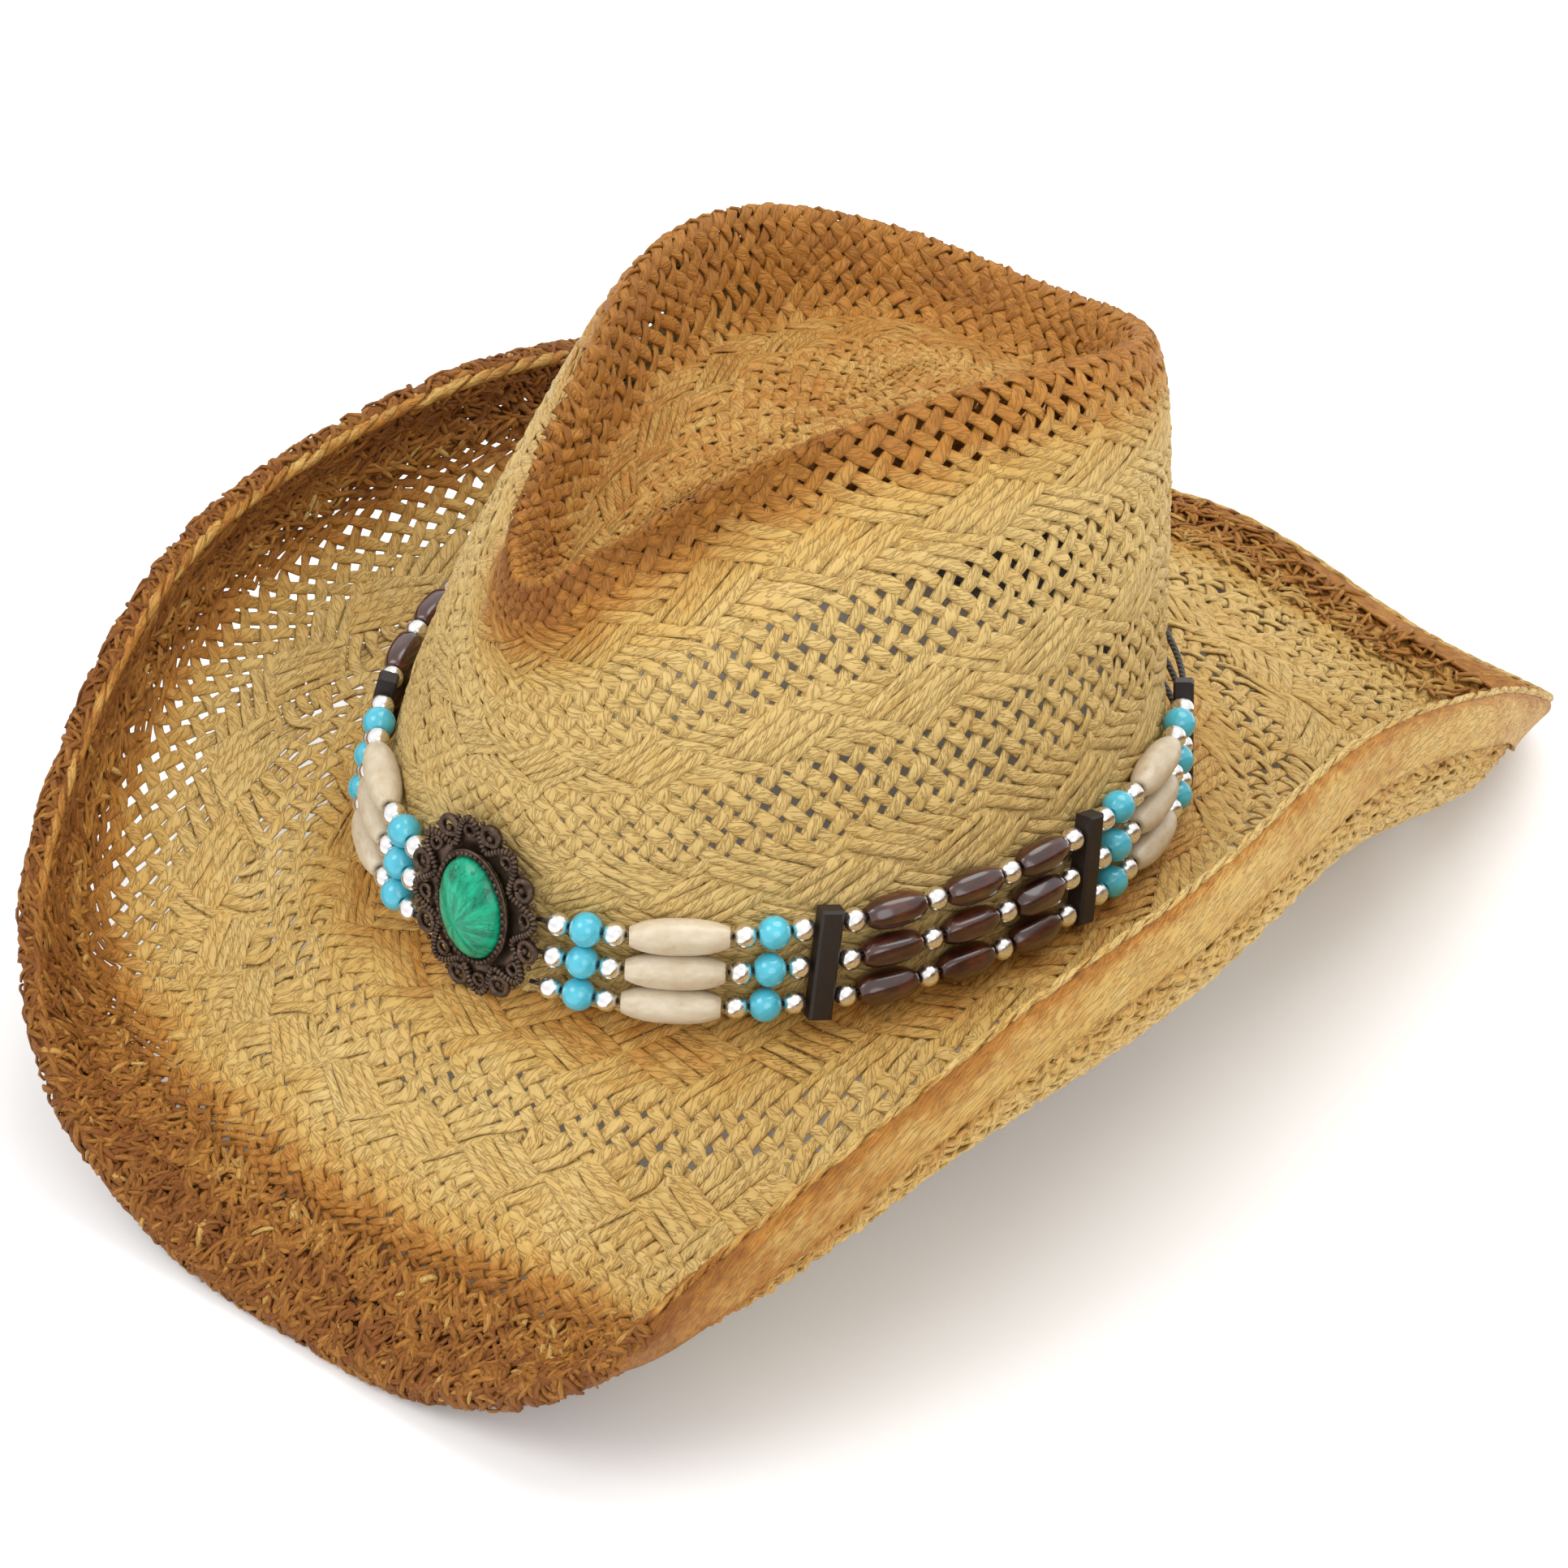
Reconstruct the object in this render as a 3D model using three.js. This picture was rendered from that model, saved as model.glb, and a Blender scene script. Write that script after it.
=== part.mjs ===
// Pinch-front straw cowboy hat with a beaded hatband.
//
// Millimetres. The hat is modelled level in its own hat frame: the origin is the centre of the head
// opening at the head line, +Z runs up the crown and the front of the brim points along -Y. The last
// group then tips the hat back by REST_TILT, the way it lies on a table on the dips of its brim.
//
// The angle "phi" runs round the hat: 0 is the front, 90 degrees is the wearer's left (+X).

import * as THREE from "three";

// ---------------------------------------------------------------- driving dimensions

const REST_TILT = 7; // degrees that the crown leans back when the brim lies on a table

const HEAD_HALF_WIDTH = 89; // straw mid-surface at the head line
const HEAD_HALF_LENGTH = 107;
const HEAD_EGG = 0.04; // the oval is narrower at the forehead by this share
const HEAD_SADDLE = 1; // the head line is lower by this at the front and back, higher at the sides
const STRAW = 2.2; // thickness of the woven straw
const GAP = 0.3; // clearance between pieces that touch
const BEAD_GAP = 0.7; // clearance along a strand

// Stations from the front to the back, equally spaced in phi on the wearer's left; the right mirrors.
const BRIM_EDGE = [
  [0, -172, -65], [43, -172, -60], [83, -167, -37], [109, -144, 0], [132, -85, 35], [141, -25, 45],
  [137, 50, 45], [134, 118, 24], [118, 175, -10], [70, 194, -19], [0, 204, -14],
];
const BRIM_START_SLOPE = [-40, -35, -32, -30, -28, -28, -30, -30, -15, -10, -10]; // degrees, at the crown
const BRIM_END_SLOPE = [-30, -25, 30, 85, 110, 115, 110, 105, 30, -5, -5]; // degrees, at the edge
const BRIM_START_HANDLE = 0.42; // Bezier handle at the crown, as a share of the brim's width
const BRIM_END_HANDLE = 0.36; // the handle at the edge
const BRIM_CURL_HANDLE = 0.16; // extra handle at the edge where the brim stands up
const BRIM_WIDTH = 92; // mean width, measured along the brim

const CROWN_RIDGE = [
  [0, -95, 98], [13, -82, 106], [30, -41, 120], [50, 10, 125], [55, 55, 118], [37, 89, 106], [0, 99, 100],
];
const CROWN_SHOULDER = [3, 3, 5, 11, 14, 8, 5]; // how far the shoulder stands outside the ridge
const CROWN_LEAN = 0.13; // the wall leans in by this much per mm of height
const CROWN_HANDLE = 50; // length of the wall's handle at the head line
const RIDGE_DROP = 5; // the shoulder's handle lies this far below the ridge
const DISH_FLOOR = [
  [0, -79, 90], [9, -67, 92], [25, -36, 97], [39, 8, 98], [43, 46, 92], [30, 72, 90], [0, 81, 89],
];
const DISH_CENTRE = [0, 12, 97];
const DISH_RIM_SHARE = 0.5; // the rounded inner side of the rim takes this share of the way in
const DISH_RIM_HANDLES = { ridge: 0.35, floor: 0.45 }; // shares of the plan distance they cross
const DISH_RIM_RISE = { ridge: 0.06, floor: 0.02 }; // shares of the drop that they stand above
const PINCH_DEPTH = 10; // the dent that thumb and finger press into each side of the front
const PINCH_PHI = 48; // degrees
const PINCH_PHI_SPREAD = 18;
const PINCH_HEIGHT = 0.8; // share of the way up the wall
const PINCH_HEIGHT_SPREAD = 0.14;

const SWEATBAND_START = 1.5; // its lower edge is this far above the head line
const SWEATBAND_TOP = 30;
const SWEATBAND_THICKNESS = 1.4;
const BRIM_INNER_STEP = 2.3; // the brim starts this far outside the crown's mid-surface
const WIRE_DIAMETER = 1.4;
const HEM_THICKNESS = 0.8;
const HEM_GAP = 1; // the fold stands this far off the straw
const HEM_UNDER = 9; // width of the fold under the brim
const HEM_OVER = 4.5; // width of the roll over the brim
const HEM_BEND = [60, 20, -20, -60]; // degrees of the points round the fold

const BAND_MID_HEIGHT = 15; // height of the middle strand above the head line
const BAND_TILT = 2; // the band sits lower by this on the wearer's left, and higher on the right
const STRAND_PITCH = 8.4;
const STRAND_NAMES = ["bottom", "middle", "top"];
const SILVER = { length: 5.3, radius: 2.9 };
const TURQUOISE = { length: 7.3, radius: 4 };
const BONE = { length: 22.8, radius: 4 };
const WOOD = { length: 14.8, radius: 4 };
const BAND_CORD_RADIUS = 0.9;
const BEAD_NECK = 0.4; // the cord shows for this length between two beads
const BAR = { width: 5.5, height: 27, depth: 5, chamfer: 0.6 };
const BEAD_STANDOFF = 0.5; // the widest beads lie this far off the straw
const BEAD_CENTRE = STRAW / 2 + BEAD_STANDOFF + TURQUOISE.radius; // off the straw's mid-surface
const CONCHO = {
  width: 36, height: 43, thickness: 2.4, lobes: 12, lobeDepth: 1.2, holeRing: 0.405, holeRadius: 1.3,
};
const CONCHO_HEIGHT = 20; // height of its middle above the head line
const CONCHO_STANDOFF = 2.7; // its back lies this far off the straw; the strands are tied to its rim
const CONCHO_ROLL = 10; // degrees that its top leans towards the wearer's right
const CABOCHON = { width: 18, height: 25, rise: 5 };
const BEZEL = { reach: 1.3, radius: 0.9 }; // its middle lies this far outside the stone

// Steps that the curved pieces are cut into.
const CROWN_STEPS = 44;
const BRIM_STEPS = 80;
const WALL_BANDS = 9;
const DISH_BANDS = 9;
const BRIM_BANDS = 8;
const SWEATBAND_BANDS = 3;
const REAR_CORD_STEPS = 18;
const STONE_STEPS = 28;
const PATH_SAMPLES = 720;
const TANGENT_REACH = 1.5; // a bead's direction is taken over this length on each side

// ---------------------------------------------------------------- materials

const finish = (color, roughness, metalness = 0) =>
  new THREE.MeshStandardMaterial({ color, roughness, metalness });
const MATERIALS = {
  straw: () => finish(0xcfa765, 0.75),
  hem: () => finish(0xa8713a, 0.8),
  wire: () => finish(0x8f9092, 0.4, 1),
  sweatband: () => finish(0x3a2c24, 0.9),
  turquoise: () => finish(0x2fb1cf, 0.25),
  bone: () => finish(0xe6d3b2, 0.4),
  wood: () => finish(0x3a1c16, 0.25),
  bar: () => finish(0x2c211e, 0.6),
  concho: () => finish(0x4b3a30, 0.45, 1),
  cabochon: () => finish(0x0f9468, 0.15),
  cord: () => finish(0x1a1614, 0.8),
};

// ---------------------------------------------------------------- curves of the hat

const rad = THREE.MathUtils.degToRad;

/** Adds the mirrored stations of the wearer's right, so that the list runs all the way round. */
function allRound(stations) {
  const back = stations.slice(1, -1).reverse();
  return stations.concat(back.map((s) => (Array.isArray(s) ? [-s[0], s[1], s[2]] : s)));
}

/** Smooth closed curve through the stations: a uniform Catmull-Rom, in each coordinate. */
function ring(stations) {
  const points = allRound(stations).map((s) => (Array.isArray(s) ? s : [s]));
  const count = points.length;
  return (phi) => {
    const place = (((phi / (2 * Math.PI)) % 1) + 1) * count;
    const start = Math.floor(place);
    const f = place - start;
    const [a, b, c, d] = [-1, 0, 1, 2].map((k) => points[(start + k + count) % count]);
    return a.map((_, k) => 0.5 * (2 * b[k] + (c[k] - a[k]) * f
      + (2 * a[k] - 5 * b[k] + 4 * c[k] - d[k]) * f * f
      + (3 * b[k] - 3 * c[k] + d[k] - a[k]) * f * f * f));
  };
}

const edgeAt = ring(BRIM_EDGE);
const startSlopeAt = ring(BRIM_START_SLOPE);
const endSlopeAt = ring(BRIM_END_SLOPE);
const ridgeAt = ring(CROWN_RIDGE);
const shoulderAt = ring(CROWN_SHOULDER);
const dishAt = ring(DISH_FLOOR);
const UP = new THREE.Vector3(0, 0, 1);

function headLine(phi) {
  const x = HEAD_HALF_WIDTH * Math.sin(phi) * (1 - HEAD_EGG * Math.cos(phi));
  return new THREE.Vector3(x, -HEAD_HALF_LENGTH * Math.cos(phi), -HEAD_SADDLE * Math.cos(2 * phi));
}

function bezier(p0, p1, p2, p3, t) {
  return new THREE.CubicBezierCurve3(p0, p1, p2, p3).getPoint(t);
}

const bell = (value, centre, spread) => Math.exp(-(((value - centre) / spread) ** 2));

/** The share of the way up the wall that lies at a low height above the head line. */
const wallShare = (height) => height / (3 * CROWN_HANDLE);

/** The crown's wall, from the head line (t = 0) to the ridge (t = 1). */
function wallPoint(phi, t) {
  const foot = headLine(phi);
  const ridge = new THREE.Vector3(...ridgeAt(phi));
  const out = new THREE.Vector3(foot.x, foot.y, 0).normalize();
  const p1 = foot.clone().addScaledVector(out, -CROWN_LEAN * CROWN_HANDLE).addScaledVector(UP, CROWN_HANDLE);
  const p2 = ridge.clone().addScaledVector(out, shoulderAt(phi)[0]).addScaledVector(UP, -RIDGE_DROP);
  const point = bezier(foot, p1, p2, ridge, t);
  const side = Math.abs(THREE.MathUtils.radToDeg(Math.atan2(Math.sin(phi), Math.cos(phi))));
  const dent = bell(side, PINCH_PHI, PINCH_PHI_SPREAD) * bell(t, PINCH_HEIGHT, PINCH_HEIGHT_SPREAD);
  return point.addScaledVector(out, -PINCH_DEPTH * dent);
}

/** The top of the crown, from the ridge (t = 0) down into the dish and to its centre (t = 1). */
function dishPoint(phi, t) {
  const ridge = new THREE.Vector3(...ridgeAt(phi));
  const floor = new THREE.Vector3(...dishAt(phi));
  if (t > DISH_RIM_SHARE) {
    const centre = new THREE.Vector3(...DISH_CENTRE);
    return floor.lerp(centre, (t - DISH_RIM_SHARE) / (1 - DISH_RIM_SHARE));
  }
  const drop = ridge.z - floor.z;
  const inward = floor.clone().sub(ridge).setZ(0);
  const p1 = ridge.clone().addScaledVector(inward, DISH_RIM_HANDLES.ridge)
    .addScaledVector(UP, DISH_RIM_RISE.ridge * drop);
  const p2 = floor.clone().addScaledVector(inward, -DISH_RIM_HANDLES.floor)
    .addScaledVector(UP, DISH_RIM_RISE.floor * drop);
  return bezier(ridge, p1, p2, floor, t / DISH_RIM_SHARE);
}

/** The brim, from the head line (t = 0) to its edge (t = 1). */
function brimPoint(phi, t) {
  const foot = headLine(phi);
  const edge = new THREE.Vector3(...edgeAt(phi));
  const out = edge.clone().sub(foot).setZ(0).normalize();
  const width = edge.distanceTo(foot);
  const start = rad(startSlopeAt(phi)[0]);
  const end = rad(endSlopeAt(phi)[0]);
  const curl = BRIM_END_HANDLE + BRIM_CURL_HANDLE * Math.abs(Math.sin(end));
  const p1 = foot.clone().addScaledVector(out, Math.cos(start) * width * BRIM_START_HANDLE)
    .addScaledVector(UP, Math.sin(start) * width * BRIM_START_HANDLE);
  const p2 = edge.clone().addScaledVector(out, -Math.cos(end) * width * curl)
    .addScaledVector(UP, -Math.sin(end) * width * curl);
  return bezier(foot, p1, p2, edge, t);
}

/**
 * The unit normal of a surface point(phi, t), on the hat's outer and upper side. The brim's t runs
 * away from the crown, which turns its normal round.
 */
function normalOf(surface, phi, t) {
  const step = 1e-3;
  const t0 = Math.max(0, t - step);
  const t1 = Math.min(1, t + step);
  const along = surface(phi, t1).sub(surface(phi, t0));
  const around = surface(phi + step, t).sub(surface(phi - step, t));
  return around.cross(along).setLength(surface === brimPoint ? -1 : 1);
}

function offsetPoint(surface, phi, t, offset) {
  return surface(phi, t).addScaledVector(normalOf(surface, phi, t), offset);
}

// ---------------------------------------------------------------- closed meshes from rings

/** A closed mesh from triangles of points, wound so that its faces point out. */
function closedGeometry(points, triangles) {
  let volume = 0;
  for (const [a, b, c] of triangles) {
    volume += points[a].dot(points[b].clone().cross(points[c]));
  }
  const wound = volume > 0 ? triangles : triangles.map(([a, b, c]) => [a, c, b]);
  const geometry = new THREE.BufferGeometry().setFromPoints(points);
  geometry.setIndex(wound.flat());
  geometry.computeVertexNormals();
  return geometry;
}

/**
 * Joins rings of equal length. The last ring joins the first, or both ends close on a pole.
 * The second half of the rings runs back along the first, as the other face of a thin wall, so its
 * quads are cut along their other diagonal: both faces of the wall then bend along the same lines.
 */
function loft(rings, poles = null) {
  const count = rings[0].length;
  const points = rings.flat();
  const triangles = [];
  const bands = poles ? rings.length - 1 : rings.length;
  for (let i = 0; i < bands; i += 1) {
    const low = i * count;
    const high = ((i + 1) % rings.length) * count;
    const firstFace = i < rings.length / 2;
    for (let j = 0; j < count; j += 1) {
      const next = (j + 1) % count;
      if (firstFace) {
        triangles.push([low + j, low + next, high + next], [low + j, high + next, high + j]);
      } else {
        triangles.push([low + j, low + next, high + j], [low + next, high + next, high + j]);
      }
    }
  }
  if (poles) {
    const last = (rings.length - 1) * count;
    points.push(poles[0], poles[1]);
    for (let j = 0; j < count; j += 1) {
      const next = (j + 1) % count;
      triangles.push([next, j, points.length - 2], [last + j, last + next, points.length - 1]);
    }
  }
  return closedGeometry(points, triangles);
}

const anglesOf = (count) => Array.from({ length: count }, (_, k) => (k / count) * 2 * Math.PI);
const sharesOf = (count, from = 0, to = 1) =>
  Array.from({ length: count + 1 }, (_, k) => from + ((to - from) * k) / count);

function ringOn(surface, t, offset, steps) {
  return anglesOf(steps).map((phi) => offsetPoint(surface, phi, t, offset));
}

function mesh(name, geometry, material) {
  const made = new THREE.Mesh(geometry, MATERIALS[material]());
  made.name = name;
  return made;
}

// ---------------------------------------------------------------- woven body

function crownGeometry() {
  const half = STRAW / 2;
  const wall = sharesOf(WALL_BANDS).slice(0, -1);
  const top = sharesOf(DISH_BANDS).slice(0, -1);
  const side = (offset) => [
    ...wall.map((t) => ringOn(wallPoint, t, offset, CROWN_STEPS)),
    ...top.map((t) => ringOn(dishPoint, t, offset, CROWN_STEPS)),
  ];
  const centre = new THREE.Vector3(...DISH_CENTRE);
  const poles = [centre.clone().addScaledVector(UP, half), centre.clone().addScaledVector(UP, -half)];
  return loft([...side(half).reverse(), ...side(-half)], poles);
}

/** The share of the brim's width that lies the given distance from the crown. */
const brimShare = (distance) => distance / BRIM_WIDTH;

function brimGeometry() {
  const half = STRAW / 2;
  const shares = [
    ...sharesOf(BRIM_BANDS, brimShare(BRIM_INNER_STEP), 1 - brimShare(HEM_UNDER)),
    1 - brimShare(HEM_OVER), 1 - brimShare(WIRE_DIAMETER),
  ];
  const upper = shares.map((t) => ringOn(brimPoint, t, half, BRIM_STEPS));
  const lower = shares.map((t) => ringOn(brimPoint, t, -half, BRIM_STEPS));
  return loft([...upper, ...lower.reverse()]);
}

/** A point at the brim's edge: outward past the edge, or along the brim where outward is negative. */
function edgePoint(phi, outward, normal) {
  if (outward < 0) return offsetPoint(brimPoint, phi, 1 - brimShare(-outward), normal);
  const edge = brimPoint(phi, 1);
  const out = edge.clone().sub(brimPoint(phi, 1 - brimShare(WIRE_DIAMETER))).normalize();
  return edge.addScaledVector(out, outward).addScaledVector(normalOf(brimPoint, phi, 1), normal);
}

/** Sweeps a section of [outward, normal] points along the brim's edge. */
function edgeSweep(section) {
  return loft(section.map(([outward, normal]) => anglesOf(BRIM_STEPS)
    .map((phi) => edgePoint(phi, outward, normal))));
}

function wireGeometry() {
  const radius = WIRE_DIAMETER / 2;
  return edgeSweep(anglesOf(6).map((a) => [radius * Math.cos(a), radius * Math.sin(a)]));
}

/** The turned edge: a fold round the wire whose slit is under the brim. */
function hemGeometry() {
  const inner = STRAW / 2 + HEM_GAP;
  const outer = inner + HEM_THICKNESS;
  const arc = (radius) => HEM_BEND.map((a) => [radius * Math.cos(rad(a)), radius * Math.sin(rad(a))]);
  return edgeSweep([
    [-HEM_OVER, inner], ...arc(inner), [-HEM_OVER, -inner], [-HEM_UNDER, -inner],
    [-HEM_UNDER, -outer], [-HEM_OVER, -outer], ...arc(outer).reverse(), [-HEM_OVER, outer],
  ]);
}

function sweatbandGeometry() {
  const outside = -STRAW / 2 - GAP;
  const inside = outside - SWEATBAND_THICKNESS;
  const shares = sharesOf(SWEATBAND_BANDS, wallShare(SWEATBAND_START), wallShare(SWEATBAND_TOP));
  const outer = shares.map((t) => ringOn(wallPoint, t, outside, CROWN_STEPS));
  const inner = shares.map((t) => ringOn(wallPoint, t, inside, CROWN_STEPS));
  return loft([...outer, ...inner.reverse()]);
}

// ---------------------------------------------------------------- hatband

/** Points round the crown at one strand's mean height, off the straw, with their running length. */
function strandPath(height) {
  const points = sharesOf(PATH_SAMPLES).map((s) => {
    const phi = s * 2 * Math.PI;
    return offsetPoint(wallPoint, phi, wallShare(height - BAND_TILT * Math.sin(phi)), BEAD_CENTRE);
  });
  const lengths = [0];
  for (let k = 1; k <= PATH_SAMPLES; k += 1) {
    lengths.push(lengths[k - 1] + points[k].distanceTo(points[k - 1]));
  }
  return { points, lengths, total: lengths[PATH_SAMPLES] };
}

/** The point at a signed length from the front of the hat, positive towards the wearer's left. */
function pointAlong(path, length) {
  const wanted = ((length % path.total) + path.total) % path.total;
  const k = Math.max(1, path.lengths.findIndex((l) => l >= wanted));
  const f = (wanted - path.lengths[k - 1]) / (path.lengths[k] - path.lengths[k - 1]);
  return path.points[k - 1].clone().lerp(path.points[k], f);
}

const PATHS = STRAND_NAMES.map((_, k) => strandPath(BAND_MID_HEIGHT + (k - 1) * STRAND_PITCH));

/** A bead string: profile pairs of [length along the strand, radius], bent along the strand. */
function stringGeometry(path, start, sense, profile, sides) {
  const last = profile[profile.length - 1][0];
  const at = (s) => pointAlong(path, sense * (start + s));
  const rings = profile.map(([s, radius]) => {
    const before = at(Math.max(0, s - TANGENT_REACH));
    const after = at(Math.min(last, s + TANGENT_REACH));
    const along = after.sub(before).normalize();
    const side = new THREE.Vector3().crossVectors(UP, along).normalize();
    const up = new THREE.Vector3().crossVectors(along, side);
    const centre = at(s);
    return anglesOf(sides).map((a) => centre.clone()
      .addScaledVector(side, radius * Math.cos(a)).addScaledVector(up, radius * Math.sin(a)));
  });
  return loft(rings, [at(0), at(last)]);
}

/** A bead's profile as pairs of [share of its length, share of its radius]. */
const ROUND_BEAD = [[0, 0.45], [0.25, 0.97], [0.75, 0.97], [1, 0.45]];
const PIPE_BEAD = [[0, 0.62], [0.2, 0.9], [0.5, 1], [0.8, 0.9], [1, 0.62]];
const BARREL_BEAD = [[0, 0.6], [0.25, 0.97], [0.75, 0.97], [1, 0.6]];

/** The profile of beads strung one after another on their cord. */
function stringProfile(beads) {
  const profile = [];
  let start = 0;
  for (const [bead, shape] of beads) {
    for (const [share, radius] of shape) {
      profile.push([start + share * bead.length, Math.max(BAND_CORD_RADIUS, radius * bead.radius)]);
    }
    start += bead.length + BEAD_NECK;
  }
  return profile;
}

const CLUSTER = [[SILVER, ROUND_BEAD], [TURQUOISE, ROUND_BEAD], [SILVER, ROUND_BEAD]];
const PIPE = [[BONE, PIPE_BEAD]];
const BARRELS = [SILVER, WOOD, SILVER, WOOD, SILVER, WOOD, SILVER]
  .map((bead) => [bead, bead === WOOD ? BARREL_BEAD : ROUND_BEAD]);

/** A spacer bar, drilled for the three strands, that stands up the crown's wall. */
function barMesh(name, start, sense) {
  const middle = pointAlong(PATHS[1], sense * (start + BAR.width / 2));
  const low = pointAlong(PATHS[0], sense * (start + BAR.width / 2));
  const high = pointAlong(PATHS[2], sense * (start + BAR.width / 2));
  const up = high.sub(low).normalize();
  const along = pointAlong(PATHS[1], sense * (start + BAR.width)).sub(pointAlong(PATHS[1], sense * start));
  along.addScaledVector(up, -along.dot(up)).normalize();
  const bar = mesh(name, barGeometry(), "bar");
  bar.quaternion.setFromRotationMatrix(new THREE.Matrix4().makeBasis(along, up, along.clone().cross(up)));
  bar.position.copy(middle);
  return bar;
}

function barGeometry() {
  const { chamfer } = BAR;
  const shape = new THREE.Shape();
  const [x, y] = [BAR.width / 2 - chamfer, BAR.height / 2 - chamfer];
  shape.moveTo(-x, -y);
  shape.lineTo(x, -y);
  shape.lineTo(x, y);
  shape.lineTo(-x, y);
  const geometry = new THREE.ExtrudeGeometry(shape, {
    depth: BAR.depth - 2 * chamfer, steps: 1, bevelSize: chamfer, bevelThickness: chamfer, bevelSegments: 1,
  });
  return geometry.translate(0, 0, -BAR.depth / 2 + chamfer);
}

/** Half of the band, from the concho to the last bar. */
function bandSide(side, sense) {
  const pieces = [];
  const place = (name, beads, sides, start, material) => {
    PATHS.forEach((path, k) => {
      const geometry = stringGeometry(path, start, sense, stringProfile(beads), sides);
      pieces.push(mesh(`${side}_${name}_${STRAND_NAMES[k]}`, geometry, material));
    });
    return start + stringProfile(beads).at(-1)[0] + BEAD_GAP;
  };
  const boneGroup = (name, start) => {
    let at = place(`${name}_beads_a`, CLUSTER, 6, start, "turquoise");
    at = place(`${name}_hair_pipe`, PIPE, 8, at, "bone");
    return place(`${name}_beads_b`, CLUSTER, 6, at, "turquoise");
  };
  const bar = (name, start) => {
    pieces.push(barMesh(`${side}_${name}`, start, sense));
    return start + BAR.width + BEAD_GAP;
  };
  let at = CONCHO.width / 2 + CONCHO.lobeDepth + GAP;
  at = bar("bar_1", boneGroup("front", at));
  at = place("wood_beads", BARRELS, 6, at, "wood");
  at = bar("bar_2", at);
  at = bar("bar_3", boneGroup("rear", at));
  return { pieces, end: at };
}

/** The cord of one strand across the back of the hat, from the last bar to its twin. */
function rearCordGeometry(path, from) {
  const span = path.total - 2 * from;
  const sides = 6;
  const profile = sharesOf(REAR_CORD_STEPS).map((share) => [share * span, BAND_CORD_RADIUS]);
  return stringGeometry(path, from, 1, profile, sides);
}

// ---------------------------------------------------------------- concho

/** The concho's lobed outline, at a share of its full size. */
function conchoShape(share) {
  const steps = CONCHO.lobes * 4;
  const points = anglesOf(steps).map((a) => {
    const lobe = CONCHO.lobeDepth * Math.cos(CONCHO.lobes * a);
    return new THREE.Vector2(
      (CONCHO.width / 2 + lobe) * share * Math.sin(a),
      (CONCHO.height / 2 + lobe) * share * Math.cos(a),
    );
  });
  return new THREE.Shape(points);
}

/** The cast plate: a lobed oval, pierced between its lobes and its centre. */
function conchoPlateGeometry() {
  const shape = conchoShape(1);
  for (const a of anglesOf(CONCHO.lobes)) {
    const hole = new THREE.Path();
    const x = CONCHO.width * CONCHO.holeRing * Math.sin(a + Math.PI / CONCHO.lobes);
    const y = CONCHO.height * CONCHO.holeRing * Math.cos(a + Math.PI / CONCHO.lobes);
    hole.absarc(x, y, CONCHO.holeRadius, 0, 2 * Math.PI);
    shape.holes.push(hole);
  }
  return new THREE.ExtrudeGeometry(shape, {
    depth: CONCHO.thickness, steps: 1, bevelEnabled: false, curveSegments: 3,
  });
}

/** The bezel ring that grips the stone. */
function bezelGeometry() {
  const rings = anglesOf(6).map((turn) => anglesOf(STONE_STEPS).map((a) => {
    const reach = BEZEL.reach + BEZEL.radius * Math.cos(turn);
    const x = (CABOCHON.width / 2 + reach) * Math.sin(a);
    const y = (CABOCHON.height / 2 + reach) * Math.cos(a);
    return new THREE.Vector3(x, y, BEZEL.radius * (1 + Math.sin(turn)));
  }));
  return loft(rings);
}

/** The stone: a domed oval with a flat back. */
function cabochonGeometry() {
  const levels = [[1, 0], [1, 0.22], [0.9, 0.55], [0.68, 0.82], [0.36, 0.96]];
  const rings = levels.map(([share, height]) => anglesOf(STONE_STEPS).map((a) => new THREE.Vector3(
    (CABOCHON.width / 2) * share * Math.sin(a),
    (CABOCHON.height / 2) * share * Math.cos(a),
    CABOCHON.rise * height,
  )));
  return loft(rings, [new THREE.Vector3(0, 0, 0), new THREE.Vector3(0, 0, CABOCHON.rise)]);
}

/** The concho at the front, square to the crown's wall, where the two halves of the band meet. */
function conchoGroup() {
  const share = wallShare(CONCHO_HEIGHT);
  const normal = normalOf(wallPoint, 0, share);
  const up = UP.clone().addScaledVector(normal, -UP.dot(normal)).normalize();
  const group = new THREE.Group();
  up.applyAxisAngle(normal, rad(CONCHO_ROLL));
  const basis = new THREE.Matrix4().makeBasis(up.clone().cross(normal), up, normal);
  group.quaternion.setFromRotationMatrix(basis);
  group.position.copy(offsetPoint(wallPoint, 0, share, STRAW / 2 + CONCHO_STANDOFF));
  const plate = mesh("concho_plate", conchoPlateGeometry(), "concho");
  const bezel = mesh("concho_bezel", bezelGeometry(), "concho");
  bezel.position.z = CONCHO.thickness + GAP;
  const stone = mesh("cabochon", cabochonGeometry(), "cabochon");
  stone.position.z = CONCHO.thickness + GAP;
  return group.add(plate, bezel, stone);
}

// ---------------------------------------------------------------- the hat

const hat = new THREE.Group();
hat.add(
  mesh("crown", crownGeometry(), "straw"),
  mesh("brim", brimGeometry(), "straw"),
  mesh("brim_hem", hemGeometry(), "hem"),
  mesh("brim_wire", wireGeometry(), "wire"),
  mesh("sweatband", sweatbandGeometry(), "sweatband"),
  conchoGroup(),
);
const left = bandSide("left", 1);
const right = bandSide("right", -1);
hat.add(...left.pieces, ...right.pieces);
PATHS.forEach((path, k) => {
  hat.add(mesh(`rear_cord_${STRAND_NAMES[k]}`, rearCordGeometry(path, left.end), "cord"));
});
hat.rotation.x = rad(-REST_TILT);

const group = new THREE.Group();
group.add(hat);
export default group;
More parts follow.
